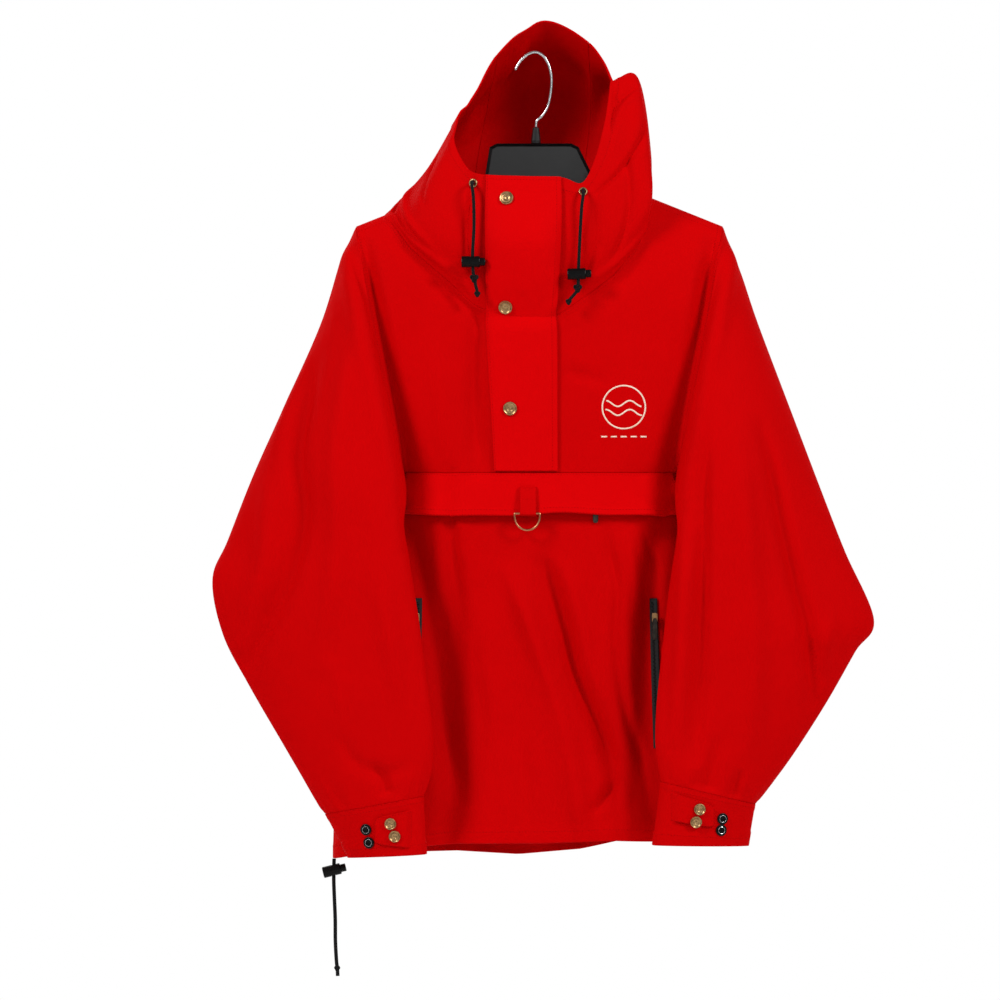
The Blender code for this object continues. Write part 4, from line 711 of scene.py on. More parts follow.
def sheet_mesh(name, grid, edges, ring=False, wall=WALL):
    """A closed shell round a grid: both sides stand half a wall off it and meet in a quarter-round at the
    panel's edges.  The outer side is raised in a band beside a seam or hem."""
    rows, columns = grid.shape[:2]
    normals = grid_normals(grid, ring)
    share, raised = np.ones((rows, columns)), np.zeros((rows, columns))
    for edge, far in edge_distances(grid, ring).items():
        share = np.minimum(share, np.sqrt(1 - (1 - np.clip(far / EDGE_ROUND, 0, 1)) ** 2))
        height, width = EDGES[edges.get(edge, "plain")]
        if height:
            raised = np.maximum(raised, height * (1 - ease((far - width) / BAND_FALL)))
    outer = grid + normals * ((wall / 2 + raised) * share)[..., None]
    inner = grid - normals * (wall / 2 * share)[..., None]
    index = numbered(rows, columns)
    inside = np.ones((rows, columns), bool)
    inside[[0, -1]] = False
    if not ring:
        inside[:, [0, -1]] = False
    back = index.copy()
    back[inside] = rows * columns + np.arange(inside.sum())
    closed = grid
    if ring:
        index, back, closed = joined(index), joined(back), joined(grid)
    flip = 1 if np.sum(cell_cross(grid) * normals[:-1, :-1]) > 0 else -1
    front, behind = corners(index).reshape(-1, 4), corners(back).reshape(-1, 4)
    faces = np.concatenate([front[:, ::flip], behind[:, ::-flip]])
    points = np.concatenate([outer.reshape(-1, 3), inner[inside]])
    corner = corners(flat_places(closed)).reshape(-1, 4, 2)
    uv = np.concatenate([corner[:, ::flip], corner[:, ::-flip]])
    obj = mesh_object(name, points, faces, uv)
    SURFACES[name] = (outer, normals)
    return obj


def mesh_object(name, points, faces, uv=None):
    """Put points in millimetres and faces into a linked mesh object, with a UV map if one is given."""
    mesh = bpy.data.meshes.new(name)
    faces = faces.tolist() if hasattr(faces, "tolist") else faces
    mesh.from_pydata((np.asarray(points) * MM).tolist(), [], faces)
    if uv is not None:
        mesh.uv_layers.new(name="cloth").data.foreach_set("uv", np.asarray(uv, np.float32).ravel())
    mesh.shade_smooth()
    obj = bpy.data.objects.new(name, mesh)
    bpy.context.scene.collection.objects.link(obj)
    return obj


def place_piece(obj, finish, nodes=(), body="root"):
    """Give a piece its finish and its body, and hide the CAD nodes that it stands for."""
    obj.data.materials.append(material(finish))
    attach(obj, body)
    if nodes:
        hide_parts(*nodes)
    return obj


def sewn_sheet(node, grid, edges, ring=False, wall=WALL, finish="shell_cloth"):
    """A cloth piece: its shell, with a UV map of the flat piece it was cut to, measured along its surface."""
    obj = sheet_mesh(f"cloth_{node}", grid, edges, ring, wall)
    place_piece(obj, finish, [node])
    return obj


# ---- finishes ----------------------------------------------------------------------------------
def linear(code):
    """Linear colour of an sRGB hex code."""
    values = [int(code[i:i + 2], 16) / 255 for i in (1, 3, 5)]
    return tuple(v / 12.92 if v <= 0.04045 else ((v + 0.055) / 1.055) ** 2.4 for v in values) + (1.0,)


def add(tree, kind, inputs=(), **settings):
    """Add a node, set its settings, and set or link its inputs."""
    made = tree.nodes.new(kind)
    for key, value in settings.items():
        setattr(made, key, value)
    for socket, value in dict(inputs).items():
        if isinstance(value, bpy.types.NodeSocket):
            tree.links.new(value, made.inputs[socket])
        else:
            made.inputs[socket].default_value = value
    return made


def start_finish(name, **sockets):
    """A material with its Principled shader's own sockets set."""
    made = bpy.data.materials.new(name)
    made.use_nodes = True
    shader = made.node_tree.nodes["Principled BSDF"]
    for socket, value in sockets.items():
        shader.inputs[socket.replace("_", " ")].default_value = value
    made.diffuse_color = shader.inputs["Base Color"].default_value
    return made, made.node_tree, shader


def shaded(tree, shader, low, high, factor):
    """Base colour between two shades by a pattern.  The mix node's colours are its sockets 6 and 7, and
    the mixed colour is output 2."""
    ramp = add(tree, "ShaderNodeMix", {"Factor": factor, 6: linear(low), 7: linear(high)}, data_type="RGBA")
    tree.links.new(ramp.outputs[2], shader.inputs["Base Color"])


def bumped(tree, shader, layers):
    """Stack bumps: pattern socket, depth in metres, strength."""
    below = None
    for pattern, depth, strength in layers:
        inputs = {"Height": pattern, "Distance": depth, "Strength": strength}
        if below:
            inputs["Normal"] = below
        below = add(tree, "ShaderNodeBump", inputs).outputs[0]
    tree.links.new(below, shader.inputs["Normal"])


def noise(tree, where, scale, detail=2.0, stretch=(1, 1, 1)):
    """Cloud pattern with its own stretch: scale is one over the real size in metres."""
    moved = add(tree, "ShaderNodeMapping", {"Vector": where, "Scale": stretch}).outputs[0]
    return add(tree, "ShaderNodeTexNoise", {"Vector": moved, "Scale": scale, "Detail": detail}).outputs[0]


def waves(tree, where, pitch):
    """Parallel ribs a pitch apart in metres.  A wave texture of scale 1 repeats every 0.314."""
    return add(tree, "ShaderNodeTexWave", {"Vector": where, "Scale": 0.314 / pitch}).outputs[1]


# Real sizes of the patterns in metres
THREAD_PITCH = 0.0017      # threads are 0.25 mm apart, drawn at 1.7 mm so that the weave shows at all
THREAD_STRETCH = 0.14      # scale along a thread over the scale across it
BRAID_PITCH = 0.0026
RIB_WEAVE_PITCH = 0.0014
CLOUD_SIZE = 0.11
CRUMPLE_SIZE = 0.034
PUCKER_SIZE = 0.011


def object_place(tree):
    """Coordinates on the garment, in metres."""
    return add(tree, "ShaderNodeTexCoord").outputs["Object"]


def flat_place(tree):
    """Coordinates on the flat piece of cloth, in metres."""
    return add(tree, "ShaderNodeUVMap", uv_map="cloth").outputs[0]


def clouded(name, colours, size, detail, dimples=None, **sockets):
    """A finish whose colour drifts between its second and third shade over a size in metres.  Dimples are
    given by size, detail, depth and strength."""
    made, tree, shader = start_finish(name, Base_Color=linear(colours[0]), **sockets)
    where = object_place(tree)
    shaded(tree, shader, *colours[1:], noise(tree, where, 1 / size, detail))
    if dimples:
        fine, fine_detail, depth, strength = dimples
        bumped(tree, shader, ((noise(tree, where, 1 / fine, fine_detail), depth, strength),))
    return made


def weave(name, low, high):
    """Plain weave with a faint crumple: even, matte, almost no gloss and a weak sheen of its own colour."""
    made, tree, shader = start_finish(name, Base_Color=linear(high), Roughness=0.72,
                                      Specular_IOR_Level=0.02, Sheen_Weight=0.06, Sheen_Roughness=0.5,
                                      Sheen_Tint=linear("#FF1008"))
    where, flat = object_place(tree), flat_place(tree)
    shaded(tree, shader, low, high, noise(tree, where, 1 / CLOUD_SIZE, 3.0))
    warp = noise(tree, flat, 1 / THREAD_PITCH, 1.0, (1.0, THREAD_STRETCH, 1.0))
    weft = noise(tree, flat, 1 / THREAD_PITCH, 1.0, (THREAD_STRETCH, 1.0, 1.0))
    crumple = noise(tree, where, 1 / CRUMPLE_SIZE)
    pucker = noise(tree, where, 1 / PUCKER_SIZE)
    bumped(tree, shader, ((crumple, 0.0034, 0.5), (pucker, 0.0007, 0.5), (warp, 0.00016, 0.5),
                          (weft, 0.00016, 0.5)))
    return made


def shell_cloth(settings):
    """Nylon and cotton plain weave, piece dyed and soft proofed: deep red."""
    return weave("shell_cloth", settings.cloth_shade_hex, settings.cloth_colour_hex)


def double_cloth_painted_light(settings):
    """The same cloth sewn double, in a lighter copy of its colour: painted light, because the placket and flap
    face the light more than the chest and lose less light through their two layers.
    """
    return weave("shell_cloth_double_painted_light", settings.double_painted_light_shade_hex, settings.double_painted_light_hex)


def sewing_thread(_):
    """Polyester core thread in the cloth's colour, sunk between its own stitches: matte, a shade darker."""
    return clouded("sewing_thread", ("#B80204", "#A80204", "#C40306"), 0.002, 1.0,
                   Roughness=0.8, Specular_IOR_Level=0.04)


def moulded_black(_):
    """Black polystyrene, injection moulded in a polished tool: satin black with a soft unevenness."""
    return clouded("moulded_black_plastic", ("#0C0C0D", "#0A0A0B", "#131314"), 0.02, 3.0,
                   (0.012, 2.0, 0.0003, 0.3), Roughness=0.34, Specular_IOR_Level=0.4)


def acetal_black(_):
    """Black acetal of cord locks and snap sockets, moulded with a fine spark texture: matte black."""
    return clouded("acetal_black", ("#08080A", "#050505", "#0B0B0C"), 0.004, 2.0,
                   (0.0006, 1.0, 0.0001, 0.5), Roughness=0.36, Specular_IOR_Level=0.12)


def braided_cord(_):
    """Braided polyester cord, black: strands cross at a slant and catch a little light on each crown."""
    made, tree, shader = start_finish("braided_black_cord", Base_Color=linear("#080809"), Roughness=0.8,
                                      Sheen_Weight=0.04, Specular_IOR_Level=0.2)
    flat = flat_place(tree)
    layers = []
    for turn in (0.9, -0.9):
        moved = add(tree, "ShaderNodeMapping", {"Vector": flat, "Rotation": (0, 0, turn)}).outputs[0]
        layers.append((waves(tree, moved, BRAID_PITCH), 0.0004, 0.7))
    shaded(tree, shader, "#040405", "#0B0B0C", layers[-1][0])
    bumped(tree, shader, layers)
    return made


def metal(name, low, high, roughness, grain):
    """Metal with a patina: two shades in a cloud pattern and a fine dimpled surface."""
    return clouded(name, (high, low, high), grain, 3.0, (grain / 3, 2.0, 0.00008, 0.5),
                   Roughness=roughness, Metallic=1.0)


def antique_brass(_):
    """Pressed brass, oxidised and relieved: dark brown hollows and paler rubbed crowns."""
    return metal("antique_brass", "#7A5C3C", "#CCA878", 0.38, 0.003)


def blackened_brass(_):
    """Die-cast pull with a black nickel coat: dark, with bright edges."""
    return metal("blackened_brass", "#1C1917", "#5E5650", 0.28, 0.004)


def copper_brass(_):
    """Drawn red-brass wire, lacquered: warm and half bright."""
    return metal("copper_brass", "#9C5E3E", "#DC9A70", 0.32, 0.004)


def bright_steel(_):
    """Zinc-plated steel wire, drawn: bright with faint lines."""
    return metal("bright_steel", "#B4B4B6", "#DCDCDE", 0.22, 0.006)


def zip_tape(_):
    """Woven polyester zip tape, black, with close ribs across it."""
    made, tree, shader = start_finish("zip_tape", Base_Color=linear("#121213"), Roughness=0.85)
    ribs = waves(tree, flat_place(tree), RIB_WEAVE_PITCH)
    shaded(tree, shader, "#0C0C0D", "#1A1A1B", ribs)
    bumped(tree, shader, ((ribs, 0.0002, 0.5),))
    return made


def transfer_print(_):
    """Thin heat-transfer film, pale peach: smooth and a little glossier than the cloth."""
    return clouded("transfer_print", ("#F6D9C4", "#F0C9A8", "#FBE9DE"), 0.02, 2.0, Roughness=0.5)


def studio_floor(_):
    """Matte painted floor, pale."""
    return clouded("studio_floor", ("#F2F2F1", "#EFEFEE", "#F6F6F5"), 0.5, 2.0, Roughness=0.9)


FINISHES = {maker.__name__: maker for maker in (
    shell_cloth, double_cloth_painted_light, sewing_thread, moulded_black, acetal_black, braided_cord, antique_brass,
    blackened_brass, copper_brass, bright_steel, zip_tape, transfer_print, studio_floor)}
MADE_FINISHES = {}


def material(name):
    """The named finish, made once."""
    if name not in MADE_FINISHES:
        MADE_FINISHES[name] = FINISHES[name](bpy.context.scene.anorak_cloth)
    return MADE_FINISHES[name]


# ---- turned pieces, tubes and plates -----------------------------------------------------------
TURN_STEPS = 48
DISC_GAP = 0.1             # between a disc and the highest point of the cloth under it


def turned(name, profile, origin, axis, closed=False):
    """Spin (radius, height) points round an axis.  Points on the axis become single poles, and a closed
    profile makes a ring."""
    axis = np.asarray(axis, float) / np.linalg.norm(axis)
    side = np.cross(axis, (0.3, 0.1, 0.95) if abs(axis[2]) < 0.9 else (1, 0, 0))
    side /= np.linalg.norm(side)
    other = np.cross(axis, side)
    profile = np.array(profile, float)
    poles = [i for i in (0, len(profile) - 1) if profile[i, 0] < 1e-6 and not closed]
    rim = np.delete(profile, poles, axis=0)
    angle = np.linspace(0, 2 * math.pi, TURN_STEPS, endpoint=False)
    spoke = np.cos(angle)[:, None] * side + np.sin(angle)[:, None] * other
    rings = rim[:, None, :1] * spoke[None] + rim[:, None, 1:] * axis + np.asarray(origin, float)
    index = joined(numbered(len(rim), TURN_STEPS))
    if closed:
        index = joined(index, 0)
    faces = corners(index).reshape(-1, 4).tolist()
    points = rings.reshape(-1, 3).tolist()
    for pole in poles:
        faces += fan(index[0] if pole == 0 else index[-1][::-1], len(points))
        points.append((np.asarray(origin, float) + axis * profile[pole, 1]).tolist())
    return outward(mesh_object(name, points, faces))


def fan(edge, tip):
    """Triangles from a row of point numbers to one more point."""
    return np.stack([edge[1:], edge[:-1], np.full(len(edge) - 1, tip)], axis=-1).tolist()


def outward(obj):
    """Recalculate the normals of a closed piece so that they face out."""
    bm = bmesh.new()
    bm.from_mesh(obj.data)
    bmesh.ops.remove_doubles(bm, verts=bm.verts, dist=1e-7)
    bmesh.ops.recalc_face_normals(bm, faces=bm.faces)
    bm.to_mesh(obj.data)
    bm.free()
    obj.data.shade_smooth()
    obj.data.set_sharp_from_angle(angle=math.radians(38))
    return obj


def tube(name, path, radius, sides=16, across=(1, 0, 0), closed=False):
    """A round tube: circles of a radius, one or one a point, square to a path, with closed ends."""
    path = np.asarray(path, float)
    radius = np.broadcast_to(np.reshape(radius, (-1, 1)), (len(path), 1))
    along = np.roll(path, -1, 0) - np.roll(path, 1, 0) if closed else np.gradient(path, axis=0)
    along /= np.linalg.norm(along, axis=1, keepdims=True)
    side = np.cross(along, across)
    side /= np.linalg.norm(side, axis=1, keepdims=True)
    other = np.cross(along, side)
    angle = np.linspace(0, 2 * math.pi, sides, endpoint=False)[None, :, None]
    grid = path[:, None] + radius[:, None] * (np.cos(angle) * side[:, None] + np.sin(angle) * other[:, None])
    index, run = joined(numbered(len(path), sides)), lengths(path, 0)
    if closed:
        index = joined(index, 0)
        run = np.append(run, run[-1] + np.linalg.norm(path[-1] - path[0]))
    girth = np.linspace(0, 2 * math.pi * float(radius.max()), sides + 1)
    place = np.stack(np.broadcast_arrays(girth[None], run[:, None]), axis=-1) * MM
    uv = corners(place).reshape(-1, 2).tolist()
    faces, points = corners(index).reshape(-1, 4).tolist(), grid.reshape(-1, 3).tolist()
    if not closed:
        for end, ring in ((path[0], index[0]), (path[-1], index[-1][::-1])):
            faces += fan(ring, len(points))
            points.append(end.tolist())
            uv += [[0.0, 0.0]] * (3 * sides)
    return mesh_object(name, points, faces, uv)


def plate(name, outline, move, bevel):
    """A flat outline of points drawn out along a vector, its edges rounded by a bevel."""
    count = len(outline)
    near = np.array(outline, float)
    points = np.concatenate([near, near + np.array(move, float)])
    ring = np.arange(count)
    sides = np.stack([ring, np.roll(ring, -1), np.roll(ring, -1) + count, ring + count], axis=-1).tolist()
    obj = outward(mesh_object(name, points, [ring[::-1].tolist(), (ring + count).tolist()] + sides))
    round_edges = obj.modifiers.new("rounded", "BEVEL")
    round_edges.width, round_edges.segments = bevel * MM, 3
    round_edges.limit_method, round_edges.angle_limit = "ANGLE", math.radians(40)
    return obj


def surface_of(name):
    """The outer surface of a built sheet, to search for what is sewn on it."""
    grid = SURFACES[f"cloth_{name}"][0]
    quads = corners(numbered(*grid.shape[:2])).reshape(-1, 4)
    return BVHTree.FromPolygons(grid.reshape(-1, 3).tolist(), quads.tolist())


def front_hit(surface, x, z):
    """Point where a line from the front meets a surface."""
    at = surface.ray_cast(Vector((x, -1000, z)), Vector((0, 1, 0)))[0]
    if at is None:
        raise ValueError(f"nothing behind {x}, {z}")
    return np.array(at)


def disc_seat(surface, x, z, radius):
    """Centre and axis of a disc that lies on a surface: square to it over its radius, clear all round."""
    angles = np.linspace(0, 2 * math.pi, 8, endpoint=False)
    ring = [front_hit(surface, x + radius * math.cos(a), z + radius * math.sin(a)) for a in angles]
    centre = front_hit(surface, x, z)
    normal = np.cross(ring[0] - ring[4], ring[2] - ring[6])
    normal *= -np.sign(normal[1]) / np.linalg.norm(normal)
    rise = max(0.0, float(np.max((np.array(ring) - centre) @ normal)))
    return centre + normal * (rise + DISC_GAP), normal


# ---- settings ----------------------------------------------------------------------------------
def shade(name, description, code):
    """A colour setting held as an sRGB hex code."""
    return bpy.props.StringProperty(name=name, description=description, default=code)


class AnorakCloth(bpy.types.PropertyGroup):
    """Colours and sewing of the shell."""
    cloth_colour_hex: shade("Cloth", "sRGB colour of the shell cloth where it is lit", "#CC0003")
    cloth_shade_hex: shade("Cloth shade", "sRGB colour of the darker clouds in the dye", "#C20002")
    # Painted light: a lighter copy of the cloth's colours for the double-sewn placket and flap
    double_painted_light_hex: shade("Double cloth", "sRGB colour of the cloth where it is sewn double", "#D80004")
    double_painted_light_shade_hex: shade("Double cloth shade", "sRGB colour of its darker clouds", "#CE0003")
    stitch_pitch: FloatProperty(name="Stitch", description="Length of a stitch and the gap to the next",
                                default=3.4 * MM, min=MM, unit="LENGTH")
    thread: FloatProperty(name="Thread", description="Thickness of the sewing thread", default=0.55 * MM,
                          min=0.1 * MM, unit="LENGTH")


class AnorakCords(bpy.types.PropertyGroup):
    """The cords."""
    hood_cord: FloatProperty(name="Hood cord", description="Diameter of the hood's cord", default=3.6 * MM,
                             min=MM, unit="LENGTH")
    hem_cord: FloatProperty(name="Hem cord", description="Diameter of the hem's cord", default=4.2 * MM,
                            min=MM, unit="LENGTH")


class AnorakStage(bpy.types.PropertyGroup):
    """Camera, light and floor."""
    distance: FloatProperty(name="Distance", description="From the camera to the garment", default=7.0,
                            min=1.0, unit="LENGTH")
    view_height: FloatProperty(name="Frame", description="Width and height of the frame at the garment",
                               default=1.12, min=0.5, unit="LENGTH")
    centre: FloatVectorProperty(name="Aim", description="Point in the middle of the frame", size=3,
                                default=(-0.0414, -0.03, -0.5018), subtype="TRANSLATION", unit="LENGTH")
    floor: FloatProperty(name="Floor", description="Height of the floor", default=-1.62, unit="LENGTH")
    key_power: FloatProperty(name="Key light", description="Power of the large front light in watts",
                             default=76.0, min=0.0)
    surround: FloatProperty(name="Surround", description="Brightness of the white surround", default=1.0,
                            min=0.0)


# ---- stage and cords ---------------------------------------------------------------------------
# Name, place, aim, size in metres, power over the key light's
LIGHTS = (
    ("key", (-2.4, -2.0, 1.7), (0, 0, -0.4), 0.9, 1.0),
    ("fill", (2.4, -2.0, 1.4), (0, 0, -0.4), 0.9, 0.85),
    ("front", (0.4, -3.4, 0.3), (0, 0, -0.2), 1.0, 0.12),
    ("back", (-2.2, 2.6, 1.8), (0, 0, -0.4), 1.2, 0.4),
)
SENSOR = 36.0              # width of the camera's sensor in millimetres
FRONT_SURROUND = 0.22      # brightness of the surround before the garment over that behind it
FLOOR_HALF = 3600
FLOOR_POINTS = 5


def soft_light(name, at, aim, size, power):
    """A large square light at a place, turned to a point."""
    light = bpy.data.lights.new(name, "AREA")
    light.shape, light.size, light.energy = "SQUARE", size, power
    obj = bpy.data.objects.new(name, light)
    obj.location = at
    obj.rotation_euler = (Vector(aim) - Vector(at)).to_track_quat("-Z", "Y").to_euler()
    bpy.context.scene.collection.objects.link(obj)


class ANORAK_OT_stage(bpy.types.Operator):
    """Camera at the front, four soft lights, white surround and a pale floor"""
    bl_idname = "anorak.stage"
    bl_label = "Stage"

    def execute(self, context):
        stage = context.scene.anorak_stage
        camera = bpy.data.objects.new("front_camera", bpy.data.cameras.new("front_camera"))
        camera.data.sensor_width = SENSOR
        camera.data.lens = SENSOR * stage.distance / stage.view_height
        camera.location = (stage.centre[0], stage.centre[1] - stage.distance, stage.centre[2])
        camera.rotation_euler = (math.pi / 2, 0, 0)
        camera.data.clip_end = 40
        context.scene.collection.objects.link(camera)
        context.scene.camera = camera
        for name, at, aim, size, share in LIGHTS:
            soft_light(name, at, aim, size, stage.key_power * share)
        world = bpy.data.worlds.new("white_surround")
        world.use_nodes = True
        tree, backdrop = world.node_tree, world.node_tree.nodes["Background"]
        toward = add(tree, "ShaderNodeTexCoord").outputs["Generated"]
        depth = add(tree, "ShaderNodeSeparateXYZ", {"Vector": toward}).outputs["Y"]
        level = add(tree, "ShaderNodeMapRange", {"Value": depth, "From Min": 0.3, "From Max": 0.8,
                                                 "To Min": stage.surround * FRONT_SURROUND,
                                                 "To Max": stage.surround})
        backdrop.inputs[0].default_value = (1, 1, 1, 1)
        tree.links.new(level.outputs[0], backdrop.inputs[1])
        context.scene.world = world
        context.scene.view_settings.view_transform = "Standard"
        x, y = np.meshgrid(*[np.linspace(-FLOOR_HALF, FLOOR_HALF, FLOOR_POINTS)] * 2)
        floor = np.stack([x, y, x * 0 + stage.floor / MM], axis=-1).reshape(-1, 3)
        obj = mesh_object("floor", floor, corners(numbered(FLOOR_POINTS, FLOOR_POINTS)).reshape(-1, 4))
        obj.data.materials.append(material("studio_floor"))
        return {"FINISHED"}


# Each cord's depth where it hangs, x, y, z where it comes out of its eyelet, and x, z from there to its end
CORD_ROUTES = {
    "hood_cord_right": (
        -58.5,
        ((-71.4, -41.9, -147.2), (-72.2, -44.6, -146.5), (-72.8, -50.0, -147.6), (-72.4, -54.6, -153),
         (-71.0, -57.8, -166)),
        ((-70.4, -195), (-71.8, -222), (-72.0, -236), (-71.4, -247), (-70.6, -252), (-69.4, -256),
         (-68.6, -262), (-67.4, -267), (-66.8, -271), (-66.4, -275))),
    "hood_cord_left": (
        -58.5,
        ((51.5, -44.1, -156.2), (51.5, -46.8, -155.1), (51.6, -51.2, -156.0), (51.4, -55.4, -162),
         (49.8, -58.0, -174)),
        ((48.2, -200), (46.8, -228), (46.0, -249), (46.0, -260), (45.6, -264), (44.6, -268), (41.0, -273),
         (37.4, -277), (35.4, -280), (34.0, -283))),
    "hem_cord": (
        25.0,
        (),
        ((-228.6, -906.6), (-228.8, -912), (-229, -922), (-229, -934), (-228.4, -950), (-227.4, -975),
         (-227.2, -1000), (-226, -1022), (-225.2, -1029), (-224.8, -1034), (-224.6, -1039))),
}
# Knots on the cords: centre x, z and size over the knot
KNOTS = {
    "hood_cord_right": ((-70.2, -254.5, 10.8), (-66.7, -272.0, 7.6)),
    "hood_cord_left": ((45.2, -265.5, 10.8), (35.2, -280.6, 7.6)),
    "hem_cord": ((-225.2, -1030.5, 7.4),),
}
STRAND_SHARE = 0.36        # half a strand of a tight knot over the cord's thickness


def knot(name, centre, size, cord):
    """A pulled-up overhand knot: a trefoil line, two loops round one, swept with the cord's own thickness."""
    t = np.linspace(0, 2 * math.pi, 60, endpoint=False)
    turn = np.stack([np.sin(t) + 2 * np.sin(2 * t), -np.sin(3 * t) * 1.1, np.cos(t) - 2 * np.cos(2 * t)],
                    axis=-1)
    strand = cord * STRAND_SHARE
    path = turn / 3.0 * (size / 2 - strand) + centre
    return tube(name, path, strand, sides=10, across=(0.2, 1, 0.1), closed=True)


class ANORAK_OT_cords(bpy.types.Operator):
    """Both ends of the hood's cord and the end of the hem's cord, with their knots"""
    bl_idname = "anorak.cords"
    bl_label = "Cords"

    def execute(self, context):
        cords = context.scene.anorak_cords
        for node, (depth, start, rest) in CORD_ROUTES.items():
            diameter = cords.hem_cord if node == "hem_cord" else cords.hood_cord
            route = np.array([*start, *((x, depth, z) for x, z in rest)], float)
            path = spline_at(route, np.linspace(0, len(route) - 1, 8 * (len(route) - 1) + 1))
            obj = tube(f"braid_{node}", path, diameter / MM / 2, sides=20)
            place_piece(obj, "braided_cord", [node])
            for number, (x, z, size) in enumerate(KNOTS[node], 1):
                tied = knot(f"knot_{node}_{number}", (x, depth, z), size, diameter / MM)
                place_piece(tied, "braided_cord")
        return {"FINISHED"}


# ---- cloth pieces ------------------------------------------------------------------------------
SHEET_TOP = (WALL + DOUBLE_WALL) / 2       # from the middle of the shell to that of a double sheet on it
FLAP_BOTTOM_Z = -518.0
FLAP_SIZE = (310.0, 46.0)  # usual width and height
FLAP_SEAM_GAP = 0.4        # from the underarm level down to its sewn edge
FLAP_INSET = 9.0           # from the side seams
FLAP_LIFT = 7.5            # of its free edge
FLAP_POWER = 1.2           # the lift grows with this power of the share from the seam
PLACKET_WIDTH = 70.0
PLACKET_LOWER = 175.0      # height below the neck seam
PLACKET_SHARES = (-0.99, 0.80)     # rib numbers of its two edges
PLACKET_BOTTOM_X = (-47.8, 23.5)
PLACKET_BOTTOM_Z = -469.5
TAB_SIZE = (50.0, 28.0)    # usual length and width
TAB_STEP = 1.6
TAB_BLUNT = 0.2            # last share of a tab that narrows, and by how much
# Cuff tabs: sewn end x, tip x, upper edge z at both, lower edge z at both
CUFF_TABS = {
    "right": (-139, -180, -846, -855, -889, -884),
    "left": (148, 196, -826, -841, -858, -866),
}


class ANORAK_OT_body(bpy.types.Operator):
    """Two chest halves, the lower front and the back"""
    bl_idname = "anorak.body"
    bl_label = "Body panels"

    def execute(self, context):
        right = upper_half(-1, False, CENTRE_X)
        left = upper_half(1, False, CENTRE_X)
        for side, half in (("right", right), ("left", left)):
            sewn_sheet(f"chest_{side}", half, {"top": "seam", "left": "seam"})
        lower = lower_panel(np.concatenate([right[-1, :, 0], left[-1, ::-1, 0][1:]]), -1)
        sewn_sheet("front_lower", lower, {"bottom": "hem", "left": "seam", "right": "seam"})
        middle_x = HOOD_RIBS[BACK_RIB][0]
        back_right = upper_half(-1, True, middle_x)
        back_left = upper_half(1, True, middle_x)[:, ::-1]
        upper = np.concatenate([back_right, back_left[:, 1:]], axis=1)
        back = np.concatenate([upper, lower_panel(upper[-1, :, 0], 1)[1:]])
        sewn_sheet("back", back, {"top": "seam", "bottom": "hem"})
        return {"FINISHED"}


class ANORAK_OT_hood(bpy.types.Operator):
    """Two side panels that also make the collar, and the centre panel between them"""
    bl_idname = "anorak.hood"
    bl_label = "Hood"

    def execute(self, context):
        seam_a, seam_b = CENTRE_PANEL
        panels = (("hood_side_right", 0, seam_a), ("hood_centre", seam_a, seam_b),
                  ("hood_side_left", seam_b, RIB_COUNT))
        for name, first, last in panels:
            where = hood_columns(first, last)
            grid = hood_form(where)
            level = hood_levels()[:, None] / 3 * HOOD_HEIGHT
            rib = where[None] * RIB_PITCH
            height = crease_height(rib + 0 * level, level + 0 * rib, HOOD_CREASES)
            near = np.minimum(where - first, last - where)[None] * RIB_PITCH
            height = height * ease(level / FOOT_FADE) * ease((near + SEAM_START) / SEAM_FADE)
            grid = move_out(grid, height)
            edges = {"bottom": "hem", "left": "seam" if first else "plain",
                     "right": "seam" if last < RIB_COUNT else "plain"}
            sewn_sheet(name, grid, edges)
        return {"FINISHED"}


class ANORAK_OT_sleeves(bpy.types.Operator):
    """Sleeves, cuff bands and the tabs on them"""
    bl_idname = "anorak.sleeves"
    bl_label = "Sleeves and cuffs"

    def execute(self, context):
        for side in ("right", "left"):
            sewn_sheet(f"sleeve_{side}", sleeve_form(side), {}, ring=True)
            cuff = cuff_ring(side, seam_shares(CUFF_LENGTH, CUFF_ROW))
            sewn_sheet(f"cuff_{side}", cuff, {"top": "seam", "bottom": "hem"},
                       ring=True)
            self.tab(side)
        return {"FINISHED"}

    def tab(self, side):
        """A strip from its sewn end, which sinks into the cuff, to a blunt end: both long edges run a little
        towards the middle in the last fifth."""
        end_x, tip_x, top_end, top_tip, low_end, low_tip = CUFF_TABS[side]
        share = seam_shares(TAB_SIZE[0], TAB_STEP)
        down = seam_shares(TAB_SIZE[1], TAB_STEP)[:, None]
        narrow = TAB_BLUNT * np.clip((share - 1 + TAB_BLUNT) / TAB_BLUNT, 0, 1) ** 2
        upper, lower = ((at_end + (at_tip - at_end) * share) * (1 - narrow) + (top_tip + low_tip) / 2 * narrow
                        for at_end, at_tip in ((top_end, top_tip), (low_end, low_tip)))
        x = (end_x + (tip_x - end_x) * share)[None] + 0 * down
        z = upper[None] + (lower - upper)[None] * down
        grid = on_cuff(side, x, z)
        lift = (WALL - DOUBLE_WALL) / 2 + (DOUBLE_WALL + 3 * REST) * ease(share * 5)
        grid = move_out(grid, lift)
        sewn_sheet(f"cuff_tab_{side}", grid, {}, wall=DOUBLE_WALL)


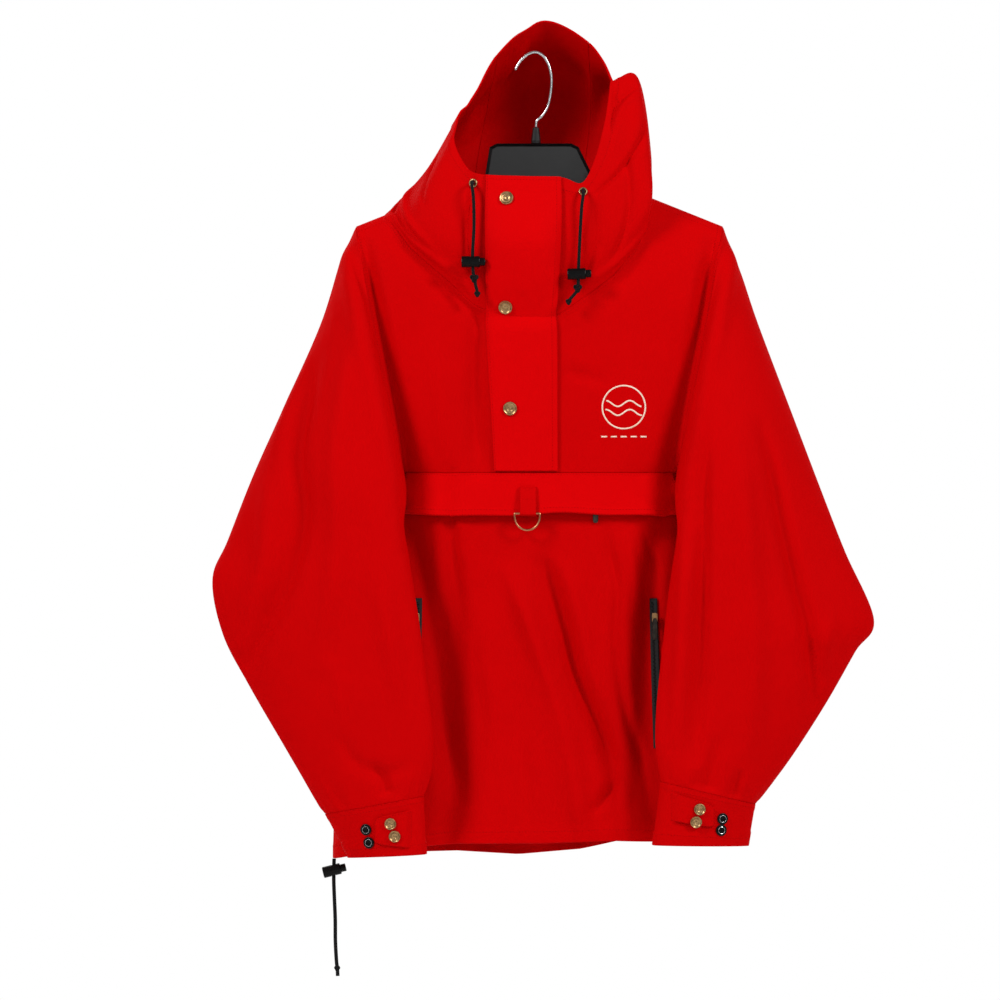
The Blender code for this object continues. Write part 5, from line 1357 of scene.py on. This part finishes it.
class ANORAK_OT_front(bpy.types.Operator):
    """Placket down the middle and the flap over the chest pocket"""
    bl_idname = "anorak.front"
    bl_label = "Placket and flap"

    def execute(self, context):
        self.placket()
        self.flap()
        return {"FINISHED"}

    def placket(self):
        """Columns of the hood from its rim to its foot, then straight down the chest, moved out by the
        bulge."""
        across = seam_shares(PLACKET_WIDTH, 3.0)
        upper = hood_form(PLACKET_SHARES[0] + (PLACKET_SHARES[1] - PLACKET_SHARES[0]) * across)[::-1, ::-1]
        foot = upper[-1]
        rows = seam_shares(PLACKET_LOWER, 4.0)[:, None]
        end_x = PLACKET_BOTTOM_X[0] + (PLACKET_BOTTOM_X[1] - PLACKET_BOTTOM_X[0]) * across
        x = foot[:, 0] + (end_x - foot[:, 0]) * rows
        z = foot[:, 2] + (PLACKET_BOTTOM_Z - foot[:, 2]) * rows
        grid = np.concatenate([upper, on_body(x, z, -1)[1:]])
        table = np.array(PLACKET_BULGE, float)
        bulge = np.interp(grid[..., 2], table[:, 0], table[:, 1]) * np.sqrt(np.abs(np.sin(across * math.pi)))
        grid = move_out(grid, SHEET_TOP + 2 * REST + bulge)
        # painted light: the placket takes the lighter copy of the cloth's colour
        sewn_sheet("placket", grid, {"top": "hem", "left": "seam", "right": "seam"},
                   wall=DOUBLE_WALL, finish="double_cloth_painted_light")

    def flap(self):
        """The chest's form below the seam, lifted more and more towards the free edge, which waves a little."""
        share = seam_shares(FLAP_SIZE[1], 2.6)[:, None]
        z = UNDERARM_Z - FLAP_SEAM_GAP + (FLAP_BOTTOM_Z - UNDERARM_Z) * share
        even = seam_shares(FLAP_SIZE[0], 4.0)
        across = np.sin((even * 2 - 1) * math.pi / 2)[None]
        x = MID_X + across * (half_width(z) - FLAP_INSET)
        z = z + share * (1.6 * np.sin(across * 5.0 + 0.6) + 0.8 * np.sin(across * 11.0))
        grid = on_body(x, z + 0 * x, -1)
        wave = 1.5 * np.sin(across * 7.5 + 0.9) + 1.1 * np.sin(across * 16.0 + 2.2)
        lift = SHEET_TOP + REST + (FLAP_LIFT + wave) * share ** FLAP_POWER
        grid = move_out(grid, lift)
        # painted light: the flap takes the lighter copy of the cloth's colour
        sewn_sheet("chest_flap", grid, {"bottom": "seam", "left": "seam", "right": "seam"},
                   wall=DOUBLE_WALL, finish="double_cloth_painted_light")


# ---- hardware ----------------------------------------------------------------------------------
# Centres x, z
SNAPS = ((-34.0, -165.0), (-35.4, -286.3), (-30.2, -399.6))
CAPS = {"right": ((-163.0, -861.5), (-158.3, -875.5)), "left": ((180.3, -845.4), (176.2, -859.4))}
SOCKETS = {"right": ((-190.4, -868.4), (-187.0, -883.0)), "left": ((206.0, -856.4), (204.4, -869.2))}
EYELETS = {"right": (-71.0, -147.5), "left": (51.5, -157.0)}
SNAP_RADIUS = 7.8
CAP_RADIUS = 6.6
SOCKET_RADIUS = 6.4
EYELET_RADIUS = 5.0
SPRING_RADIUS = 3.85       # ring of wire round the well of a socket
SPRING_HEIGHT = 1.65
SPRING_WIRE = 0.48
# Profiles: radius as a share of the piece's radius, height in millimetres
CAP_PROFILE = ((0, 0.9), (0.14, 0.85), (0.2, 0.6), (0.3, 0.65), (0.4, 1.25), (0.52, 1.45), (0.62, 1.2),
               (0.7, 1.1), (0.8, 1.75), (0.88, 2.1), (0.95, 1.95), (1.0, 1.4), (1.0, 0.5), (0.95, 0.0),
               (0, 0.0))
SOCKET_PROFILE = ((0, 0.35), (0.48, 0.35), (0.54, 0.6), (0.56, 1.0), (0.6, 1.6), (0.68, 1.85), (0.8, 1.7),
                  (0.92, 1.5), (0.99, 1.1), (1.0, 0.4), (0.94, 0.0), (0, 0.0))
# Both in millimetres
EYELET_PROFILE = ((2.7, 0.1), (3.0, 0.0), (4.8, 0.0), (5.0, 0.25), (4.8, 0.65), (4.3, 0.95), (3.7, 1.1),
                  (3.1, 0.95), (2.75, 0.6))


class ANORAK_OT_snaps(bpy.types.Operator):
    """Placket snaps, cuff snap caps and sockets, and the hood cord's eyelets"""
    bl_idname = "anorak.snaps"
    bl_label = "Snaps and eyelets"

    def execute(self, context):
        for number, (x, z) in enumerate(SNAPS, 1):
            self.cap(f"placket_snap_{number}", surface_of("placket"), x, z, SNAP_RADIUS)
        for side in ("right", "left"):
            for number, (x, z) in enumerate(CAPS[side], 1):
                self.cap(f"cuff_cap_{side}_{number}", surface_of(f"cuff_tab_{side}"), x, z, CAP_RADIUS, 0.5)
            for number, (x, z) in enumerate(SOCKETS[side], 1):
                self.socket(f"cuff_socket_{side}_{number}", surface_of(f"cuff_{side}"), x, z)
        for side, (x, z) in EYELETS.items():
            centre, axis = disc_seat(surface_of(f"hood_side_{side}"), x, z, EYELET_RADIUS)
            obj = turned(f"brass_eyelet_{side}", EYELET_PROFILE, centre, axis, closed=True)
            place_piece(obj, "antique_brass", [f"eyelet_{side}"])
        return {"FINISHED"}

    def cap(self, node, surface, x, z, radius, share=1.0):
        """Pressed cap: a rolled rim, a ring round a dimple."""
        centre, axis = disc_seat(surface, x, z, radius * share)
        obj = turned(f"brass_{node}", [(r * radius, h) for r, h in CAP_PROFILE], centre, axis)
        place_piece(obj, "antique_brass", [node])

    def socket(self, node, surface, x, z):
        """Moulded socket with a well in the middle and the spring ring that shows round it."""
        centre, axis = disc_seat(surface, x, z, SOCKET_RADIUS)
        profile = [(r * SOCKET_RADIUS, h) for r, h in SOCKET_PROFILE]
        obj = turned(f"moulded_{node}", profile, centre, axis)
        place_piece(obj, "acetal_black", [node])
        angle = np.linspace(0, 2 * math.pi, 8, endpoint=False)[:, None]
        ring = (SPRING_RADIUS, SPRING_HEIGHT) + SPRING_WIRE / 2 * np.hstack([np.cos(angle), np.sin(angle)])
        place_piece(turned(f"spring_{node}", ring, centre, axis, closed=True), "bright_steel")


RING_X = -11.0
RING_BAR_Z = -516.8
RING_HALF = 14.2
RING_DROP = 18.6
RING_WIRE = 2.4
STRAP_X = (-19.3, -1.1)
STRAP_TOP_Z = -487.0
STRAP_WALL = 1.2
STRAP_SEAT = 0.4           # the strap's top before the flap's surface
STRAP_DEPTHS = (0.6, 1.95)     # its rear and front layer before that seat
STRAP_COLUMNS = 14
BAR_CLEARANCE = 0.45       # between the bar and the strap round it
STRAP_SEWN = (1.6, 14.0)   # rows of stitches below the top
STRAP_MARGIN = 1.6         # their ends from the strap's sides
STRAP_STITCH = 2.4


class ANORAK_OT_ring(bpy.types.Operator):
    """D-ring and the strap folded round its bar"""
    bl_idname = "anorak.ring"
    bl_label = "D-ring"

    def execute(self, context):
        low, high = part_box("d_ring")
        bar_y = (low.y + high.y) / 2 / MM
        self.ring(bar_y)
        self.strap(bar_y)
        return {"FINISHED"}

    def ring(self, bar_y):
        """A straight bar and a bow: x a cosine, the drop a sine to the power 0.8, swept with the wire."""
        angle = np.linspace(0, math.pi, 49)
        drop = RING_DROP * np.abs(np.sin(angle)) ** 0.8
        bow = np.stack([RING_HALF * np.cos(angle), 0 * angle, -drop], axis=-1)
        bar = np.linspace(-RING_HALF, RING_HALF, 18)[1:-1, None] * (1, 0, 0)
        path = np.concatenate([bow, bar]) + (RING_X, bar_y, RING_BAR_Z)
        obj = tube("brass_d_ring", path, RING_WIRE / 2, sides=16, across=(0, 1, 0), closed=True)
        place_piece(obj, "copper_brass", ["d_ring"], "d_ring")

    def strap(self, bar_y):
        """Webbing down the flap, half a turn round the bar and up again: a path in depth and height, drawn
        out across the strap's width."""
        top_y = front_hit(surface_of("chest_flap"), RING_X, STRAP_TOP_Z)[1] - STRAP_SEAT
        rear_y, front_y = (top_y - depth for depth in STRAP_DEPTHS)
        turn = RING_WIRE / 2 + BAR_CLEARANCE + STRAP_WALL / 2
        arc = np.linspace(0, math.pi, 15)
        down = np.linspace(0, 1, 12)[:, None]
        back = np.array([rear_y, STRAP_TOP_Z]) * (1 - down) + np.array([bar_y + turn, RING_BAR_Z]) * down
        bend = np.stack([bar_y + turn * np.cos(arc), RING_BAR_Z - turn * np.sin(arc)], axis=-1)
        front = np.array([bar_y - turn, RING_BAR_Z]) * (1 - down) + np.array([front_y, STRAP_TOP_Z]) * down
        path = np.concatenate([back, bend[1:-1], front])
        x = np.linspace(*STRAP_X, STRAP_COLUMNS)[None]
        grid = np.stack(np.broadcast_arrays(x, path[:, :1], path[:, 1:]), axis=-1)
        quads = corners(numbered(*grid.shape[:2])).reshape(-1, 4)
        obj = mesh_object("cloth_ring_tab", grid.reshape(-1, 3), quads, corners(flat_places(grid)))
        wall = obj.modifiers.new("wall", "SOLIDIFY")
        wall.thickness, wall.offset = STRAP_WALL * MM, 0.0
        place_piece(obj, "shell_cloth", ["ring_tab"])
        face = np.linspace(STRAP_X[0] + STRAP_MARGIN, STRAP_X[1] - STRAP_MARGIN, 13)[:, None] * (1, 0, 0)
        rows = []
        for below in STRAP_SEWN:
            share = -below / (RING_BAR_Z - STRAP_TOP_Z)
            y = front_y + (bar_y - turn - front_y) * share - STRAP_WALL / 2
            rows.append((face + (0, y, STRAP_TOP_Z - below), face * 0 + (0, -1, 0)))
        sew("ring_tab", rows, STRAP_STITCH)


# x at the top and the bottom, z at the top and the bottom
POCKET_ZIPS = {"right": (-134.0, -138.0, -612.0, -780.0), "left": (131.2, 136.5, -612.0, -780.0)}
ZIP_TAPE_HALF = 5.0
ZIP_TAPE = 1.2             # thickness of the tape
ZIP_LIFT = {"right": 1.05, "left": 1.75}       # clearance over the cloth
TOOTH_PITCH = 2.2
TOOTH_SIZE = (2.6, 0.9, 1.0)
TOOTH_RISE = 0.35          # middle of a tooth over the tape
TOOTH_OFFSET = 0.75        # middle of a tooth from the line where they mesh
TOOTH_SLANT = 0.12
SLIDER_TAPER = 1.14
PULL_TAPER = 0.8


def boxes(name, centres, size, slants):
    """Many small blocks in one mesh: eight corners about each centre, turned in the XZ plane by its slant."""
    corner = np.array([[sx, sy, sz] for sx in (-1, 1) for sy in (-1, 1) for sz in (-1, 1)]) * np.array(size) / 2
    slants = np.asarray(slants, float)[:, None]
    x = corner[None, :, 0] * np.cos(slants) - corner[None, :, 2] * np.sin(slants)
    z = corner[None, :, 0] * np.sin(slants) + corner[None, :, 2] * np.cos(slants)
    y = np.broadcast_to(corner[None, :, 1], x.shape)
    points = np.asarray(centres)[:, None] + np.stack([x, y, z], axis=-1)
    face = np.array([[0, 1, 3, 2], [4, 6, 7, 5], [0, 4, 5, 1], [2, 3, 7, 6], [0, 2, 6, 4], [1, 5, 7, 3]])
    faces = (face[None] + 8 * np.arange(len(points))[:, None, None]).reshape(-1, 4)
    return outward(mesh_object(name, points.reshape(-1, 3), faces))


def rounded(width, top, bottom, corner, taper=1.0):
    """Outline of a plate in the XZ plane: a superellipse of a power, its top as wide as its bottom times a
    taper."""
    angle = np.linspace(0, 2 * math.pi, 40, endpoint=False)
    power = 2 / corner
    x = np.sign(np.cos(angle)) * np.abs(np.cos(angle)) ** power * width / 2
    z = np.sign(np.sin(angle)) * np.abs(np.sin(angle)) ** power * (top - bottom) / 2 + (top + bottom) / 2
    return x * (1 + (taper - 1) * (z - bottom) / (top - bottom)), z


class ANORAK_OT_zips(bpy.types.Operator):
    """Hand-pocket zips, their sliders and pulls, and the chest pocket's slider"""
    bl_idname = "anorak.zips"
    bl_label = "Zips"

    def execute(self, context):
        for side in ("right", "left"):
            self.tape(side)
        for key in ("right", "left", "chest"):
            self.fitting("slider", key, 3.2, SLIDER_TAPER, 0.5, "antique_brass")
            self.fitting("pull", key, 4.0, PULL_TAPER, 0.45, "blackened_brass", f"pull_{key}")
        return {"FINISHED"}

    def tape(self, side):
        """A strip of the lower front's form beside the zip line, moved out, with teeth that mesh along it."""
        x_top, x_bottom, z_top, z_bottom = POCKET_ZIPS[side]
        share = np.linspace(0, 1, 60)[:, None]
        across = np.linspace(-1, 1, 9)[None] * ZIP_TAPE_HALF
        x = x_top + (x_bottom - x_top) * share + across
        z = z_top + (z_bottom - z_top) * share + 0 * across
        grid = on_body(x, z, -1)
        normal = grid_normals(grid)
        normal *= -np.sign(normal[..., 1].sum())
        grid = grid + normal * ((WALL + ZIP_TAPE) / 2 + ZIP_LIFT[side])
        obj = sheet_mesh(f"cloth_pocket_zip_{side}", grid, {}, wall=ZIP_TAPE)
        place_piece(obj, "zip_tape", [f"pocket_zip_{side}"])
        normal = normal[:, 4]
        where = np.arange(0.03, 0.98, TOOTH_PITCH / (z_top - z_bottom))
        spots = read_along(where, share[:, 0], grid[:, 4] + normal * (ZIP_TAPE / 2 + TOOTH_RISE))
        flip = np.where(np.arange(len(where)) % 2, 1, -1)
        spots[:, 0] += flip * TOOTH_OFFSET
        place_piece(boxes(f"teeth_{side}", spots, TOOTH_SIZE, flip * TOOTH_SLANT), "acetal_black")

    def fitting(self, kind, key, corner, taper, edge, finish, body="root"):
        """A plate the size of its CAD piece with rounded corners: the slider's shield that narrows downwards,
        or the long tab of its pull."""
        low, high = (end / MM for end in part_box(f"{kind}_{key}"))
        dx, dz = rounded(high.x - low.x, high.z, low.z, corner, taper)
        outline = np.stack([(low.x + high.x) / 2 + dx / max(taper, 1.0), np.full(len(dx), low.y), dz], axis=-1)
        obj = plate(f"brass_{kind}_{key}", outline, (0, high.y - low.y, 0), edge)
        place_piece(obj, finish, [f"{kind}_{key}"], body)


HOOK_ROUTE = (
    (-1.0, -82.7), (0.4, -75), (6.3, -69.5), (13.2, -57), (16.6, -34), (14.8, -17),
    (9.0, -4.4), (0.0, 1.6), (-9.2, -0.3), (-17.2, -7), (-21.5, -13), (-24.0, -18.5),
)
HOOK_WIRE = 3.2
HOOK_TIP = (1.0, 0.96, 0.82, 0.5)      # the wire's last radii over its own
CAD_FINISHES = {"hanger": "moulded_black", "hanger_neck": "moulded_black"} | {
    f"{kind}_{place}": "acetal_black"
    for kind in ("lock", "plunger") for place in ("hood_right", "hood_left", "hem")}


class ANORAK_OT_hanger(bpy.types.Operator):
    """Wire hook, and the finishes of the hanger and the cord locks"""
    bl_idname = "anorak.hanger"
    bl_label = "Hanger and locks"

    def execute(self, context):
        route = np.array([(x, 0.0, z) for x, z in HOOK_ROUTE])
        path = spline_at(route, np.linspace(0, len(route) - 1, 120))
        radius = np.full(len(path), HOOK_WIRE / 2)
        radius[-len(HOOK_TIP):] *= HOOK_TIP
        obj = tube("steel_hook", path, radius, sides=20, across=(0, 1, 0))
        place_piece(obj, "bright_steel", ["hanger_hook"])
        for node, finish in CAD_FINISHES.items():
            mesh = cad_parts[node].data
            mesh.materials.clear()
            mesh.materials.append(material(finish))
        return {"FINISHED"}


# ---- sewing ------------------------------------------------------------------------------------
TOPSTITCH = (1.8, 6.2)
SHOULDER_STITCH = (2.4, 6.6)
HEM_STITCH = (13.0,)
RIM_STITCH = (14.0,)
# Rows of stitches: distances from each edge of each sheet
SEWN_EDGES = {
    "chest_right": {"left": TOPSTITCH, "top": SHOULDER_STITCH},
    "chest_left": {"left": TOPSTITCH, "top": SHOULDER_STITCH},
    "back": {"top": SHOULDER_STITCH, "bottom": HEM_STITCH},
    "hood_side_right": {"right": TOPSTITCH, "bottom": RIM_STITCH},
    "hood_side_left": {"left": TOPSTITCH, "bottom": RIM_STITCH},
    "hood_centre": {"bottom": RIM_STITCH},
    "placket": {"left": TOPSTITCH, "right": TOPSTITCH, "top": TOPSTITCH},
    "chest_flap": {"bottom": TOPSTITCH, "top": (3.0,), "left": TOPSTITCH, "right": TOPSTITCH},
    "front_lower": {"bottom": HEM_STITCH},
}
SEWN_RINGS = ("cuff_right", "cuff_left")
SEWN_EDGES |= {ring: {"top": TOPSTITCH, "bottom": HEM_STITCH} for ring in SEWN_RINGS}
SEWN_EDGES |= {f"cuff_tab_{side}": dict.fromkeys(("left", "right", "top", "bottom"), TOPSTITCH[:1])
               for side in ("right", "left")}
STITCH_SHARE = 0.7         # length of a stitch over the pitch
STITCH_RISE = 0.05         # middle of a stitch over the cloth
TIP_SUNK = 0.3             # its tips under its middle


def sew(name, rows, pitch):
    """Stitches along rows of points: each a small spindle, two squares between two tips, on its own tangent
    and normal, a pitch apart."""
    half = bpy.context.scene.anorak_cloth.thread / MM / 2
    square = np.array([[0, half], [half, 0], [0, -half], [-half, 0]])
    shape = np.zeros((10, 3))
    shape[[0, 9]] = (-0.5, 0, -TIP_SUNK), (0.5, 0, -TIP_SUNK)
    shape[1:5, 0], shape[5:9, 0] = -0.3, 0.3
    shape[1:5, 1:] = shape[5:9, 1:] = square
    near, far = np.arange(1, 5), np.arange(5, 9)
    after = np.roll(near, -1), np.roll(far, -1)
    tips = np.concatenate([np.stack([near * 0, after[0], near], axis=-1),
                           np.stack([far * 0 + 9, far, after[1]], axis=-1)])
    sides = np.stack([near, after[0], after[1], far], axis=-1)
    points = []
    for line, normals in rows:
        run = lengths(line, 0)
        stops = np.arange(pitch, run[-1] - pitch / 2, pitch)
        at, out = read_along(stops, run, line)[:, None], read_along(stops, run, normals)[:, None]
        along = read_along(stops + 0.5, run, line)[:, None] - at
        along /= np.maximum(np.linalg.norm(along, axis=-1, keepdims=True), 1e-9)
        points.append((at + along * shape[:, :1] * pitch * STITCH_SHARE + np.cross(along, out) * shape[:, 1:2]
                       + out * (shape[:, 2:] + STITCH_RISE)).reshape(-1, 3))
    points = np.concatenate(points)
    base = np.arange(0, len(points), len(shape))[:, None, None]
    faces = [row for part in (tips, sides) for row in (base + part).reshape(-1, part.shape[1]).tolist()]
    return place_piece(outward(mesh_object(f"stitches_{name}", points, faces)), "sewing_thread")


class ANORAK_OT_sewing(bpy.types.Operator):
    """Topstitching beside the seams and hems"""
    bl_idname = "anorak.sewing"
    bl_label = "Topstitching"

    def execute(self, context):
        pitch = context.scene.anorak_cloth.stitch_pitch / MM
        for name, edges in SEWN_EDGES.items():
            outer, normals = SURFACES[f"cloth_{name}"]
            far = edge_distances(outer, name in SEWN_RINGS)
            rows = []
            for edge, distances in edges.items():
                axis = 1 if edge in ("top", "bottom") else 0
                mean = np.median(far[edge], axis=axis)
                for distance in distances:
                    index = int(np.argmin(np.abs(mean - distance)))
                    rows.append([np.take(part, index, axis=1 - axis) for part in (outer, normals)])
            sew(name, rows, pitch)
        return {"FINISHED"}


# Chest mark: lines of points x, z from its centre; a ring, two waves and a row of short bars
MARK_CENTRE = (97.0, -404.0)
MARK_WIDTH = 1.7
MARK_RING = 24.0           # radius
MARK_RING_Z = 6.0
WAVES = ((10.0, 19.5), (0.0, 20.5))    # height over the centre, half length
WAVE_HEIGHT = 3.2
WAVE_STEP = 4.2            # millimetres a radian
BARS_Z = -27.0
BAR_PITCH = 11
BAR_HALF = 3.4
MARK_LIFT = 0.12           # middle of the film over the cloth
MARK_FILM = 0.14


def mark_lines():
    """A circle, two sine waves inside it, and five short bars in a row below it."""
    turn = np.linspace(0, 2 * math.pi, 73)
    lines = [np.stack([MARK_RING * np.cos(turn), MARK_RING_Z + MARK_RING * np.sin(turn)], axis=-1)]
    for height, half in WAVES:
        x = np.linspace(-half, half, 60)
        lines.append(np.stack([x, height + WAVE_HEIGHT * np.sin(x / WAVE_STEP)], axis=-1))
    for middle in np.arange(-2, 3) * BAR_PITCH:
        x = middle + np.linspace(-BAR_HALF, BAR_HALF, 3)
        lines.append(np.stack([x, 0 * x + BARS_Z], axis=-1))
    return lines


class ANORAK_OT_mark(bpy.types.Operator):
    """Plain printed mark on the chest"""
    bl_idname = "anorak.mark"
    bl_label = "Chest mark"

    def execute(self, context):
        points, faces = [], []
        for line in mark_lines():
            step = np.gradient(line, axis=0)
            step /= np.linalg.norm(step, axis=1, keepdims=True)
            side = np.stack([-step[:, 1], step[:, 0]], axis=-1) * MARK_WIDTH / 2
            flat = np.stack([line - side, line, line + side], axis=1) + MARK_CENTRE
            grid = move_out(on_body(flat[..., 0], flat[..., 1], -1), WALL / 2 + MARK_LIFT)
            faces.append(corners(numbered(len(line), 3)).reshape(-1, 4) + sum(map(len, points)))
            points.append(grid.reshape(-1, 3))
        obj = mesh_object("chest_mark", np.concatenate(points), np.concatenate(faces))
        wall = obj.modifiers.new("film", "SOLIDIFY")
        wall.thickness, wall.offset = MARK_FILM * MM, 0.0
        place_piece(obj, "transfer_print")
        return {"FINISHED"}


OPERATORS = [
    ANORAK_OT_stage, ANORAK_OT_cords, ANORAK_OT_body, ANORAK_OT_hood, ANORAK_OT_sleeves, ANORAK_OT_front,
    ANORAK_OT_snaps, ANORAK_OT_ring, ANORAK_OT_zips, ANORAK_OT_hanger, ANORAK_OT_sewing, ANORAK_OT_mark]
SETTINGS = {"anorak_cloth": AnorakCloth, "anorak_cords": AnorakCords, "anorak_stage": AnorakStage}


class ANORAK_PT_panel(bpy.types.Panel):
    """Settings and steps of the anorak"""
    bl_idname = "ANORAK_PT_panel"
    bl_label = "Anorak pullover"
    bl_space_type = "VIEW_3D"
    bl_region_type = "UI"
    bl_category = "Anorak"

    def draw(self, context):
        for group, kind in SETTINGS.items():
            box = self.layout.box()
            for key in kind.__annotations__:
                box.prop(getattr(context.scene, group), key)
        for step in OPERATORS:
            self.layout.operator(step.bl_idname)


def register():
    """Register the settings, the steps and the panel."""
    for kind in (*SETTINGS.values(), *OPERATORS, ANORAK_PT_panel):
        bpy.utils.register_class(kind)
    for group, kind in SETTINGS.items():
        setattr(bpy.types.Scene, group, PointerProperty(type=kind))


def unregister():
    """Undo register."""
    for group in SETTINGS:
        delattr(bpy.types.Scene, group)
    for kind in (ANORAK_PT_panel, *OPERATORS[::-1], *SETTINGS.values()):
        bpy.utils.unregister_class(kind)


def main():
    """Register, then run every step."""
    register()
    for step in OPERATORS:
        group, name = step.bl_idname.split(".")
        getattr(getattr(bpy.ops, group), name)()


if __name__ == "__main__":
    main()
